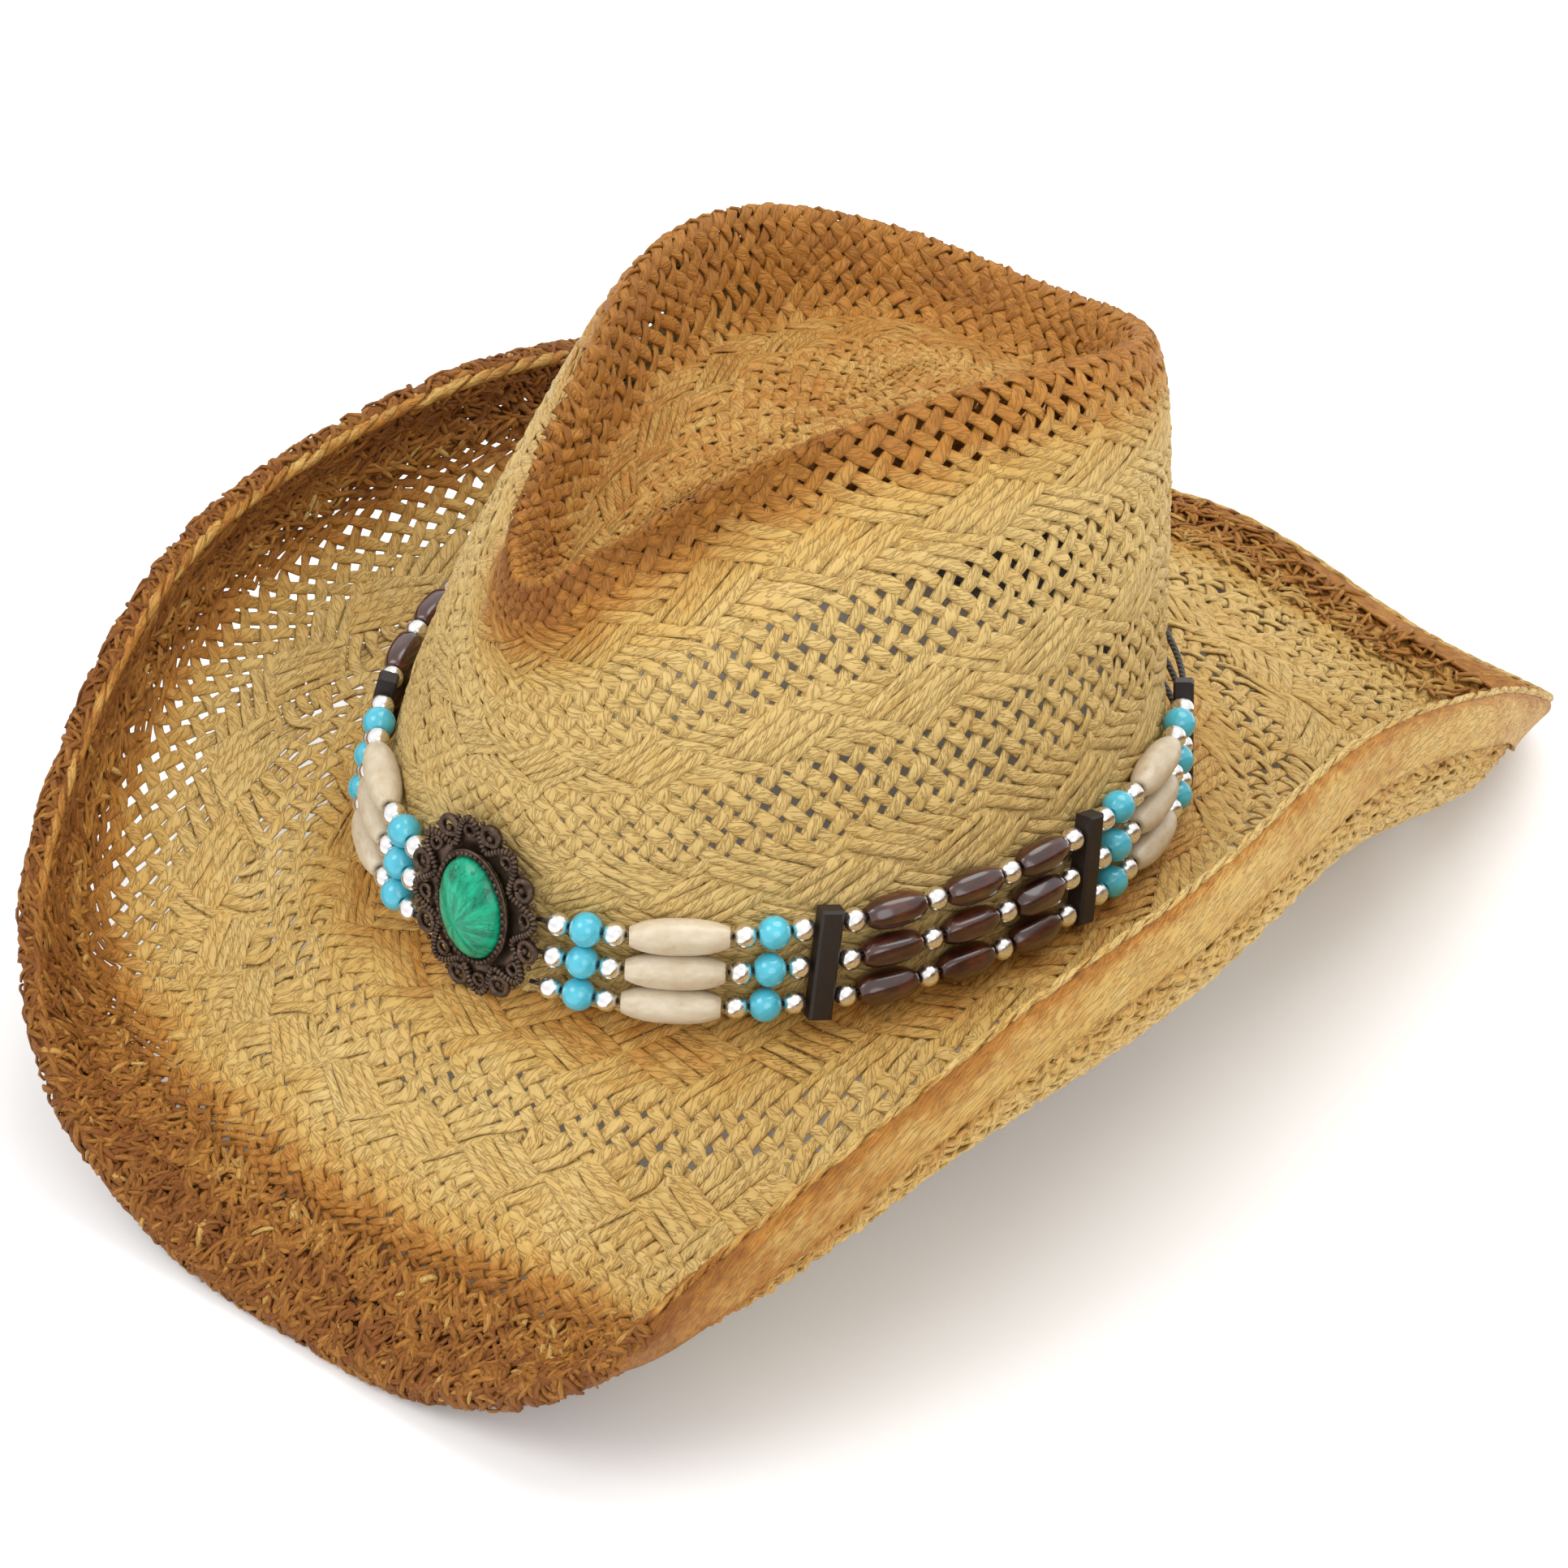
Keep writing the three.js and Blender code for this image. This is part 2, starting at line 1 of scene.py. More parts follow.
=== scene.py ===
# Looks of a pinch-front straw cowboy hat with a beaded hatband.
#
# The hat is worked out in millimetres in its own level frame: the origin is the centre of the head
# opening, +Z runs up the crown and the front of the brim points along -Y. to_frame() tips it back
# the way it lies on a table and turns it into metres. "phi" runs round the hat: 0 is the front and
# 90 degrees is the wearer's left.

import math

import bpy
import numpy as np
from mathutils import Matrix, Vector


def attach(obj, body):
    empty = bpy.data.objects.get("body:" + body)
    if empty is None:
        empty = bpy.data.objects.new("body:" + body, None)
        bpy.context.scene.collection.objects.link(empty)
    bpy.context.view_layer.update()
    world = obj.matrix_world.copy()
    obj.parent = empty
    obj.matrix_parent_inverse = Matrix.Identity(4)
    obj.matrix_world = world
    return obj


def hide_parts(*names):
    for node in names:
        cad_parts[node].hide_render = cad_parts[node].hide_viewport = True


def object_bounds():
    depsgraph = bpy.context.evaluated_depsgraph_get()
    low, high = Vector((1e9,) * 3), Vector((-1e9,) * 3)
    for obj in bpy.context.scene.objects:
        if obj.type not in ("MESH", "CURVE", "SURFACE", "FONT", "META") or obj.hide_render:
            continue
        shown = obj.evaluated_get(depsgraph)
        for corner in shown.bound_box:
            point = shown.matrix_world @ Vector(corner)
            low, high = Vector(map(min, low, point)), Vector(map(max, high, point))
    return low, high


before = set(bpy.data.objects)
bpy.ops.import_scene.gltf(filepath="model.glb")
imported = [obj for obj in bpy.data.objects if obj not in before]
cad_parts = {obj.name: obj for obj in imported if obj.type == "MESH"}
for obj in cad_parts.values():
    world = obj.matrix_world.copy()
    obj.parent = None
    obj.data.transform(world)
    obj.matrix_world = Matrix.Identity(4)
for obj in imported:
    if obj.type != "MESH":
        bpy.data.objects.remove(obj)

CAD_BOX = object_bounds()
MM = 0.001
TURN = 2 * math.pi
RNG = np.random.default_rng(7)

# ---------------------------------------------------------------- sizes, as in the CAD source

REST_TILT = math.radians(7)
HEAD_HALF_WIDTH, HEAD_HALF_LENGTH = 89, 107
HEAD_EGG, HEAD_SADDLE = 0.04, 1
STRAW = 2.2

BRIM_EDGE = [
    [0, -172, -65], [43, -172, -60], [83, -167, -37], [109, -144, 0], [132, -85, 35], [141, -25, 45],
    [137, 50, 45], [134, 118, 24], [118, 175, -10], [70, 194, -19], [0, 204, -14],
]
BRIM_START_SLOPE = [-40, -35, -32, -30, -28, -28, -30, -30, -15, -10, -10]
BRIM_END_SLOPE = [-30, -25, 30, 85, 110, 115, 110, 105, 30, -5, -5]
BRIM_START_HANDLE, BRIM_END_HANDLE, BRIM_CURL_HANDLE = 0.42, 0.36, 0.16
BRIM_WIDTH = 92

CROWN_RIDGE = [
    [0, -95, 98], [13, -82, 106], [30, -41, 120], [50, 10, 125], [55, 55, 118], [37, 89, 106],
    [0, 99, 100],
]
CROWN_SHOULDER = [3, 3, 5, 11, 14, 8, 5]
CROWN_LEAN, CROWN_HANDLE, RIDGE_DROP = 0.13, 50, 5
DISH_FLOOR = [
    [0, -79, 90], [9, -67, 92], [25, -36, 97], [39, 8, 98], [43, 46, 92], [30, 72, 90], [0, 81, 89],
]
DISH_RIM_SHARE = 0.5
DISH_RIM_HANDLES = (0.35, 0.45)
DISH_RIM_RISE = (0.06, 0.02)
DISH_LINE_MIDDLE, DISH_LINE_HALF, DISH_LINE_HEIGHT = 2, 44, 97
PINCH_DEPTH, PINCH_PHI, PINCH_PHI_SPREAD = 10, math.radians(48), math.radians(18)
PINCH_HEIGHT, PINCH_HEIGHT_SPREAD = 0.8, 0.14

SWEATBAND_START, SWEATBAND_TOP, SWEATBAND_THICKNESS = 1.5, 30, 1.4
HEM_UNDER, HEM_OVER = 9, 4.5

BAND_MID_HEIGHT, BAND_TILT, STRAND_PITCH = 15, 2, 8.4
STRANDS = ("bottom", "middle", "top")
BEAD_NECK, BEAD_GAP, GAP = 0.4, 0.7, 0.3
BEAD_CENTRE = STRAW / 2 + 0.5 + 4
BAR_WIDTH = 5.5
CONCHO_WIDTH, CONCHO_THICKNESS, CONCHO_LOBE = 36, 2.4, 1.2
CONCHO_HEIGHT, CONCHO_STANDOFF, CONCHO_ROLL = 20, 2.7, math.radians(10)
STONE_HALF_WIDTH, STONE_HALF_HEIGHT, STONE_RISE = 9, 12.5, 5

# ---------------------------------------------------------------- surfaces of the hat


def ring(stations):
    """Smooth closed curve through mirrored stations from the front to the back."""
    stations = np.array(stations, float).reshape(len(stations), -1)
    back = stations[-2:0:-1].copy()
    if back.shape[1] == 3:
        back[:, 0] *= -1
    points = np.vstack([stations, back])
    count = len(points)

    def at(phi):
        place = np.mod(phi / TURN, 1) * count
        start = np.floor(place).astype(int)
        f = (place - start)[..., None]
        a, b, c, d = (points[(start + k) % count] for k in (-1, 0, 1, 2))
        return 0.5 * (2 * b + (c - a) * f + (2 * a - 5 * b + 4 * c - d) * f**2
                      + (3 * b - 3 * c + d - a) * f**3)

    return at


edge_at, ridge_at, floor_at = ring(BRIM_EDGE), ring(CROWN_RIDGE), ring(DISH_FLOOR)
shoulder_at = ring(CROWN_SHOULDER)
start_slope_at, end_slope_at = ring(BRIM_START_SLOPE), ring(BRIM_END_SLOPE)
UP = np.array([0.0, 0.0, 1.0])


def unit(v):
    return v / np.maximum(np.linalg.norm(v, axis=-1, keepdims=True), 1e-9)


def turns(count):
    """Angles in equal steps once round."""
    return np.arange(count) / count * TURN


def run_along(line):
    """Length from the start of a line to each of its points."""
    return np.concatenate([[0], np.cumsum(np.linalg.norm(np.diff(line, axis=0), axis=1))])


def head_line(phi):
    x = HEAD_HALF_WIDTH * np.sin(phi) * (1 - HEAD_EGG * np.cos(phi))
    return np.stack([x, -HEAD_HALF_LENGTH * np.cos(phi), -HEAD_SADDLE * np.cos(2 * phi)], -1)


def bezier(p0, p1, p2, p3, t):
    t = t[..., None]
    s = 1 - t
    return s**3 * p0 + 3 * s * s * t * p1 + 3 * s * t * t * p2 + t**3 * p3


def bell(value, centre, spread):
    return np.exp(-(((value - centre) / spread) ** 2))


def smooth(value, low, high):
    """0 below low, 1 above high, and a smooth step between them."""
    t = np.clip((value - low) / (high - low), 0, 1)
    return t * t * (3 - 2 * t)


def wall(phi, t):
    """The crown's wall, from the head line (t = 0) to the ridge (t = 1)."""
    foot, ridge = head_line(phi), ridge_at(phi)
    out = unit(foot * [1, 1, 0])
    p1 = foot - out * CROWN_LEAN * CROWN_HANDLE + UP * CROWN_HANDLE
    p2 = ridge + out * shoulder_at(phi) - UP * RIDGE_DROP
    side = np.abs(np.arctan2(np.sin(phi), np.cos(phi)))
    dent = bell(side, PINCH_PHI, PINCH_PHI_SPREAD) * bell(t, PINCH_HEIGHT, PINCH_HEIGHT_SPREAD)
    return bezier(foot, p1, p2, ridge, t) - out * (PINCH_DEPTH * dent)[..., None]


def dish(phi, t):
    """The crown's top, from the ridge (t = 0) into the dish, which closes on a line (t = 1)."""
    ridge, floor = ridge_at(phi), floor_at(phi)
    drop = (ridge - floor)[..., 2:] * UP
    inward = (floor - ridge) * [1, 1, 0]
    p1 = ridge + inward * DISH_RIM_HANDLES[0] + drop * DISH_RIM_RISE[0]
    p2 = floor - inward * DISH_RIM_HANDLES[1] + drop * DISH_RIM_RISE[1]
    rim = bezier(ridge, p1, p2, floor, np.clip(t / DISH_RIM_SHARE, 0, 1))
    turn = np.abs(np.arctan2(np.sin(phi), np.cos(phi)))
    along = 0.5 * np.cos(phi) + 0.5 * (1 - 2 * turn / math.pi)
    line = np.stack([0 * phi, DISH_LINE_MIDDLE - DISH_LINE_HALF * along, DISH_LINE_HEIGHT + 0 * phi], -1)
    share = np.clip((t - DISH_RIM_SHARE) / (1 - DISH_RIM_SHARE), 0, 1)[..., None]
    return rim + (line - floor) * share


def crown(phi, t):
    """The whole crown: the wall for t up to 1, and the top from there to t = 2."""
    low = wall(phi, np.clip(t, 0, 1))
    return np.where((t <= 1)[..., None], low, dish(phi, np.clip(t - 1, 0, 1)))


def brim(phi, t):
    """The brim, from the head line (t = 0) to its edge (t = 1)."""
    foot, edge = head_line(phi), edge_at(phi)
    out = unit((edge - foot) * [1, 1, 0])
    width = np.linalg.norm(edge - foot, axis=-1, keepdims=True)
    start, end = np.radians(start_slope_at(phi)), np.radians(end_slope_at(phi))
    curl = BRIM_END_HANDLE + BRIM_CURL_HANDLE * np.abs(np.sin(end))
    p1 = foot + (out * np.cos(start) + UP * np.sin(start)) * width * BRIM_START_HANDLE
    p2 = edge - (out * np.cos(end) + UP * np.sin(end)) * width * curl
    return bezier(foot, p1, p2, edge, t)


def frame_on(surface, phi, t, top=1.0):
    """Points of a surface with unit normals on its outer, upper side and its step per radian round."""
    step = 1e-3
    along = surface(phi, np.minimum(t + step, top)) - surface(phi, np.maximum(t - step, 0))
    around = (surface(phi + step, t) - surface(phi - step, t)) / (2 * step)
    side = -1 if surface is brim else 1
    return surface(phi, t), side * unit(np.cross(around, along)), around


def to_frame(points):
    """Hat frame in mm to the part's frame in metres."""
    c, s = math.cos(REST_TILT), math.sin(REST_TILT)
    x, y, z = np.moveaxis(np.asarray(points, float), -1, 0)
    return np.stack([x, c * y + s * z, c * z - s * y], -1) * MM


def brim_share(distance):
    return distance / BRIM_WIDTH


def wall_share(height):
    return height / (3 * CROWN_HANDLE)


# ---------------------------------------------------------------- camera, floor and light

CAMERA_TARGET = np.array([-6.7, 13.4, -11.7])
CAMERA_DISTANCE = 1067.6
CAMERA_AZIMUTH, CAMERA_ELEVATION, CAMERA_ROLL = np.radians([37.1, 33.7, 2.8])
CAMERA_LENS = 97.0


def make_camera():
    a, e, r = CAMERA_AZIMUTH, CAMERA_ELEVATION, CAMERA_ROLL
    back = np.array([math.sin(a) * math.cos(e), -math.cos(a) * math.cos(e), math.sin(e)])
    level = np.array([math.cos(a), math.sin(a), 0])
    above = np.cross(back, level)
    right = math.cos(r) * level + math.sin(r) * above
    up = -math.sin(r) * level + math.cos(r) * above
    data = bpy.data.cameras.new("camera")
    data.lens, data.sensor_width = CAMERA_LENS, 36
    camera = bpy.data.objects.new("camera", data)
    bpy.context.collection.objects.link(camera)
    axes = [to_frame(v) / MM for v in (right, up, back)]
    place = to_frame(CAMERA_TARGET + CAMERA_DISTANCE * back)
    rows = [[axes[k][i] for k in range(3)] + [place[i]] for i in range(3)]
    camera.matrix_world = Matrix(rows + [[0, 0, 0, 1]])
    bpy.context.scene.camera = camera


def area_light(name, place, aim, size, power):
    data = bpy.data.lights.new(name, "AREA")
    data.shape, data.size, data.energy = "DISK", size, power
    light = bpy.data.objects.new(name, data)
    bpy.context.collection.objects.link(light)
    light.location = place
    direction = Matrix.Translation(aim).translation - light.location
    light.rotation_mode = "QUATERNION"
    light.rotation_quaternion = direction.to_track_quat("-Z", "Y")


def link(tree, source, target):
    tree.links.new(source, target)


def make_stage():
    low = CAD_BOX[0].z - 0.0004
    half = 4.0
    mesh = bpy.data.meshes.new("floor")
    corners = [(-half, -half, low), (half, -half, low), (half, half, low), (-half, half, low)]
    mesh.from_pydata(corners, [], [(0, 1, 2, 3)])
    floor = bpy.data.objects.new("floor", mesh)
    bpy.context.collection.objects.link(floor)
    material = bpy.data.materials.new("floor")
    material.use_nodes = True
    shader = material.node_tree.nodes["Principled BSDF"]
    shader.inputs["Base Color"].default_value = (0.93, 0.93, 0.93, 1)
    shader.inputs["Roughness"].default_value = 0.9
    mesh.materials.append(material)
    world = bpy.data.worlds.new("studio")
    world.use_nodes = True
    background = world.node_tree.nodes["Background"]
    background.inputs["Color"].default_value = (1.0, 1.0, 1.0, 1)
    background.inputs["Strength"].default_value = 0.95
    bpy.context.scene.world = world
    area_light("key", (-0.5, -0.9, 1.3), (0, 0, 0.03), 0.9, 7)
    area_light("top", (0.2, 0.7, 1.5), (0, 0, 0.03), 1.4, 14)
    area_light("fill", (1.3, -0.8, 0.9), (0, 0, 0.03), 1.2, 7)
    bpy.context.scene.view_settings.view_transform = "Standard"


make_camera()
make_stage()

# ---------------------------------------------------------------- mesh making


class Builder:
    """Collects closed bodies of one piece: points, faces, UVs, shade values and materials."""

    def __init__(self):
        self.points, self.loops, self.sizes, self.uvs = [], [], [], []
        self.attributes, self.slots = [], []
        self.count = 0

    def add(self, rings, uv_along, values, slot=0, closed=False, point_values=False):
        """Rings of equal length joined into a tube, with both ends capped, or a closed loop.

        values are two numbers for each ring, or for each point where point_values is set.
        """
        n, k = rings.shape[:2]
        i = np.arange(n if closed else n - 1)[:, None]
        j = np.arange(k)[None, :]
        i2, j2 = (i + 1) % n, (j + 1) % k
        quads = np.stack([i * k + j, i * k + j2, i2 * k + j2, i2 * k + j], -1).reshape(-1, 4)
        u = np.append(uv_along, uv_along[-1] * (1 + 1 / max(n - 1, 1))) if closed else uv_along
        ends = (i + 0 * j, i + 0 * j, i + 1 + 0 * j, i + 1 + 0 * j)
        around = (j + 0 * i, j + 1 + 0 * i, j + 1 + 0 * i, j + 0 * i)
        uv = np.stack([np.stack([u[e], a / k], -1) for e, a in zip(ends, around)], 2).reshape(-1, 2)
        loops = [quads.ravel()]
        sizes = [np.full(len(quads), 4)]
        uvs = [uv]
        if not closed:
            loops += [np.arange(k)[::-1], (n - 1) * k + np.arange(k)]
            sizes.append(np.array([k, k]))
            uvs += [np.full((k, 2), u[0]), np.full((k, 2), u[-1])]
        self.points.append(rings.reshape(-1, 3))
        self.loops.append(np.concatenate(loops) + self.count)
        self.sizes.append(np.concatenate(sizes))
        self.uvs.append(np.concatenate(uvs))
        self.attributes.append(values if point_values else np.repeat(values, k, axis=0))
        self.slots.append(np.full(len(quads) + (0 if closed else 2), slot))
        self.count += n * k

    def make(self, name, body, slot, replaced, materials, names=("toast_and_painted_shade", "shade")):
        mesh = bpy.data.meshes.new(name)
        points = to_frame(np.concatenate(self.points)).astype(np.float32)
        loops = np.concatenate(self.loops).astype(np.int32)
        sizes = np.concatenate(self.sizes).astype(np.int32)
        mesh.vertices.add(len(points))
        mesh.vertices.foreach_set("co", points.ravel())
        mesh.loops.add(len(loops))
        mesh.loops.foreach_set("vertex_index", loops)
        mesh.polygons.add(len(sizes))
        mesh.polygons.foreach_set("loop_start", np.cumsum(sizes) - sizes)
        mesh.polygons.foreach_set("use_smooth", np.ones(len(sizes), bool))
        mesh.polygons.foreach_set("material_index", np.concatenate(self.slots).astype(np.int32))
        layer = mesh.uv_layers.new(name="strand")
        layer.uv.foreach_set("vector", np.concatenate(self.uvs).astype(np.float32).ravel())
        values = np.concatenate(self.attributes).astype(np.float32)
        for k, attribute in enumerate(names):
            stored = mesh.attributes.new(attribute, "FLOAT", "POINT")
            stored.data.foreach_set("value", np.ascontiguousarray(values[:, k]))
        mesh.update()
        mesh.validate()
        for material in materials:
            mesh.materials.append(material)
        made = bpy.data.objects.new(name, mesh)
        bpy.context.collection.objects.link(made)
        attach(made, body)
        if replaced:
            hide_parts(*replaced)
        return made


def circle(sides):
    a = turns(sides)
    return np.stack([np.cos(a), np.sin(a)], -1)


def tube_rings(line, side, normal, half_width, half_height, section):
    """A section's points carried along a line. side and normal are unit vectors across it."""
    across = (half_width[:, None] * section[:, 0])[..., None] * side[:, None, :]
    above = (half_height[:, None] * section[:, 1])[..., None] * normal[:, None, :]
    return line[:, None, :] + across + above


def tangents(line, closed=False):
    if closed:
        return unit(np.roll(line, -1, 0) - np.roll(line, 1, 0))
    return unit(np.gradient(line, axis=0))


def wander(length, reach):
    """Smooth noise of about unit size, along a line sampled at the given lengths."""
    knots = np.arange(length[0] - reach, length[-1] + 2 * reach, reach)
    return np.interp(length, knots, RNG.uniform(-1, 1, len(knots)))


# ---------------------------------------------------------------- weave

GROUPS = 10
FLOAT = 5  # cords that a float block passes over
OPEN_ANGLE = math.radians(45)
LEVEL_SAMPLES = 2.5
CORD_LIFT, CORD_HALF_HEIGHT, CORD_HALF_WIDTH = 0.56, 0.58, 1.78
CORD_FILL = 0.54  # half width as a share of the room to the next cord
CORD_SECTION = np.array([[1, 0], [0.84, 0.70], [0.30, 1.0], [-0.36, 0.96], [-0.86, 0.66], [-1, -0.06],
                         [-0.55, -0.90], [0.50, -0.94]])


def square(x):
    """Smooth square wave of period 2, from +1 on 0..1 to -1 on 1..2."""
    return np.tanh(5 * np.sin(math.pi * x))


class Weave:
    """Two families of cords that cross all over a surface, in open and dense rings.

    Distances run in mm along the surface from the head line. A family's cords are counted in
    groups that repeat round the hat. present(distance) gives each cord of a group a weight from 0,
    not there, to 1. rings are (start, end, angle in degrees, whether in blocks) of the dense rings,
    where the cords turn flatter and, in blocks, float over and under five others.
    """

    def __init__(self, surface, top, present, rings, toast_and_painted_shade, crumple):
        self.surface, self.top, self.present, self.toast_and_painted_shade = surface, top, present, toast_and_painted_shade
        self.crumple = crumple
        self.t = np.linspace(0, top, 400)
        phi = turns(90)
        grid = surface(*np.meshgrid(phi, self.t))
        steps = np.linalg.norm(np.diff(grid, axis=0), axis=-1).mean(1)
        self.distance = np.concatenate([[0], np.cumsum(steps)])
        around = np.linalg.norm(grid - np.roll(grid, 1, axis=1), axis=-1).sum(1)
        self.radius = around / TURN
        self.length = self.distance[-1]
        self.rings = []
        weight = present(self.distance)
        self.total = GROUPS * weight.sum(1)
        tilt = np.full(len(self.t), 1 / math.tan(OPEN_ANGLE))
        for start, end, angle, _ in rings:
            share = self.ring_share(self.distance, start, end)
            tilt += share * (1 / math.tan(math.radians(angle)) - 1 / math.tan(OPEN_ANGLE))
        rate = tilt / self.radius
        mean = (rate[1:] + rate[:-1]) / 2 * np.diff(self.distance)
        self.swing = np.concatenate([[0], np.cumsum(mean)])
        levels = self.total * rate / math.pi
        mean = (levels[1:] + levels[:-1]) / 2 * np.diff(self.distance)
        self.levels = np.concatenate([[0], np.cumsum(mean)])
        for start, end, _, in_blocks in rings:
            if not in_blocks:
                continue
            middle = (start + end) / 2
            there = np.round(present(np.array([middle]))[0])
            counted = np.concatenate([[0], np.cumsum(there)])
            shift = self.swing_at(middle) * GROUPS * counted[-1] / math.pi
            self.rings.append((start, end, there, counted, shift))

    @staticmethod
    def ring_share(distance, start, end):
        return smooth(distance, start - 2, start + 2) * (1 - smooth(distance, end - 2, end + 2))

    def swing_at(self, distance):
        return np.interp(distance, self.distance, self.swing)

    def close_on_line(self):
        """Turns the families so that they meet their twins where the surface closes on a line."""
        total = self.total[-1]
        wanted = math.pi / (2 * total)
        step = math.pi / total
        lead = self.swing[-1]
        add = wanted + step * math.ceil(lead / step) - lead
        self.swing = self.swing + add
        for k, (start, end, there, counted, shift) in enumerate(self.rings):
            shift += add * GROUPS * counted[-1] / math.pi
            self.rings[k] = (start, end, there, counted, shift)

    def cord(self, family, index):
        """Place and height of one cord, family being +1 or -1."""
        reach = np.arange(0, self.levels[-1], 1 / LEVEL_SAMPLES)
        d = np.interp(reach, self.levels, self.distance)
        weights = self.present(d)
        size = weights.shape[1]
        group, place = divmod(index, size)
        own = weights[:, place]
        keep = own > 0.12
        d, weights, own = d[keep], weights[keep], own[keep]
        bounds = np.concatenate([np.zeros((len(d), 1)), np.cumsum(weights, axis=1)], axis=1)
        whole = bounds[:, -1]
        rank = group * whole + bounds[:, place] + own / 2
        total = GROUPS * whole
        swing = self.swing_at(d)
        phi = TURN * rank / total + family * swing
        other = rank + family * swing * total / math.pi
        other_group = np.floor(other / whole)
        rest = other - other_group * whole
        other_place = np.minimum((bounds[:, 1:] <= rest[:, None]).sum(1), size - 1)
        rows = np.arange(len(d))
        gap = np.maximum(weights[rows, other_place], 1e-6)
        part = np.clip((rest - bounds[rows, other_place]) / gap, 0, 1)
        crossed = other_group * size + other_place + part
        plain = np.cos(math.pi * (index + 0.5 + crossed))
        height = plain.copy()
        for start, end, there, counted, shift in self.rings:
            share = self.ring_share(d, start, end)
            mine = group * counted[-1] + counted[place] + 0.5
            theirs = other_group * counted[-1] + counted[other_place] + part * there[other_place]
            a, b = (mine, theirs) if family > 0 else (theirs, mine)
            block = square(a / FLOAT) * square((b - shift) / FLOAT)
            height += share * (block - plain)
        return d, phi, family * height, own / total * TURN

    def build(self, family, indices):
        """The cords of one family as closed tubes."""
        builder = Builder()
        cords = []
        for index in indices:
            d, phi, height, pitch = self.cord(family, index)
            if len(d) < 4:
                continue
            rough = self.crumple(phi, d)
            phi = phi + pitch * (0.10 * wander(d, 7) + 0.25 * rough * wander(d, 4))
            cords.append((d, phi, height, pitch, rough))
        splits = np.cumsum([len(c[0]) for c in cords])[:-1]
        d, phi, height, pitch, rough = (np.concatenate([c[k] for c in cords]) for k in range(5))
        t = np.interp(d, self.distance, self.t)
        point, normal, around = frame_on(self.surface, phi, t, self.top)
        toast_and_painted_shade = self.toast_and_painted_shade(phi, d / self.length, d)
        parts = (np.split(v, splits) for v in (d, point, normal, around, height, pitch, rough, toast_and_painted_shade))
        for d, point, normal, around, height, pitch, rough, toast_and_painted_shade in zip(*parts):
            run = run_along(point)
            direction = tangents(point)
            room = np.linalg.norm(around, axis=1) * pitch
            lean = np.abs((direction * unit(around)).sum(1))
            room = room * np.sqrt(np.maximum(1 - lean**2, 0.01))
            width = np.minimum(CORD_HALF_WIDTH, CORD_FILL * room)
            width = width * (1 + 0.15 * wander(run, 6) - 0.20 * rough) * (1 + 0.08 * height)
            thick = CORD_HALF_HEIGHT * (1 + 0.18 * wander(run, 4))
            lift = CORD_LIFT * height + rough * 0.75 * wander(run, 3)
            line = point + normal * lift[:, None]
            roll = np.radians(18 + 30 * rough) * wander(run, 4)
            side = unit(np.cross(normal, direction))
            across = side * np.cos(roll)[:, None] + normal * np.sin(roll)[:, None]
            above = normal * np.cos(roll)[:, None] - side * np.sin(roll)[:, None]
            rings = tube_rings(line, across, above, width, thick, CORD_SECTION)
            shade = np.full(len(run), RNG.uniform(0, 1)) + 0.15 * wander(run, 12)
            builder.add(rings, run + RNG.uniform(0, 300), np.stack([toast_and_painted_shade, shade], -1))
        return builder


# ---------------------------------------------------------------- materials


def nodes_of(name):
    material = bpy.data.materials.new(name)
    material.use_nodes = True
    return material, material.node_tree


def finished(material, inputs):
    """The material with its shader's inputs set to numbers or linked to nodes."""
    tree = material.node_tree
    shader = tree.nodes["Principled BSDF"]
    for key, value in inputs.items():
        if isinstance(value, (int, float)):
            shader.inputs[key].default_value = value
        else:
            link(tree, value, shader.inputs[key])
    return material


def node(tree, kind, **settings):
    made = tree.nodes.new("ShaderNode" + kind)
    for key, value in settings.items():
        if key in made.inputs:
            made.inputs[key].default_value = value
        else:
            setattr(made, key, value)
    return made


def ramp(tree, source, stops):
    made = node(tree, "ValToRGB")
    made.color_ramp.elements.remove(made.color_ramp.elements[1])
    for k, (position, color) in enumerate(stops):
        stop = made.color_ramp.elements[0] if k == 0 else made.color_ramp.elements.new(position)
        stop.position = position
        stop.color = (*color, 1)
    link(tree, source, made.inputs["Fac"])
    return made.outputs["Color"]


def maths(tree, operation, *values):
    made = node(tree, "Math", operation=operation)
    for k, value in enumerate(values):
        if isinstance(value, (int, float)):
            made.inputs[k].default_value = value
        else:
            link(tree, value, made.inputs[k])
    return made.outputs["Value"]


def plus(tree, a, b):
    return maths(tree, "ADD", a, b)


def minus(tree, a, b):
    return maths(tree, "SUBTRACT", a, b)


def times(tree, a, b):
    return maths(tree, "MULTIPLY", a, b)


def blend(tree, factor, a, b, kind="MIX"):
    made = node(tree, "Mix", data_type="RGBA", blend_type=kind)
    for key, value in ((0, factor), (6, a), (7, b)):
        if isinstance(value, (int, float)):
            made.inputs[key].default_value = value
        elif isinstance(value, tuple):
            made.inputs[key].default_value = (*value, 1)
        else:
            link(tree, value, made.inputs[key])
    return made.outputs[2]


def noise(tree, vector, scale, detail=3.0, roughness=0.5):
    made = node(tree, "TexNoise", Scale=scale, Detail=detail, Roughness=roughness)
    link(tree, vector, made.inputs["Vector"])
    return made.outputs["Fac"]


def bump(tree, height, strength, distance):
    made = node(tree, "Bump", Strength=strength, Distance=distance)
    link(tree, height, made.inputs["Height"])
    return made.outputs["Normal"]


def strand_vector(tree, scale):
    """UVs of a strand, in mm along it and turns round it, scaled."""
    uv = node(tree, "UVMap", uv_map="strand")
    mapping = node(tree, "Mapping")
    mapping.inputs["Scale"].default_value = scale
    link(tree, uv.outputs["UV"], mapping.inputs["Vector"])
    return mapping.outputs["Vector"]


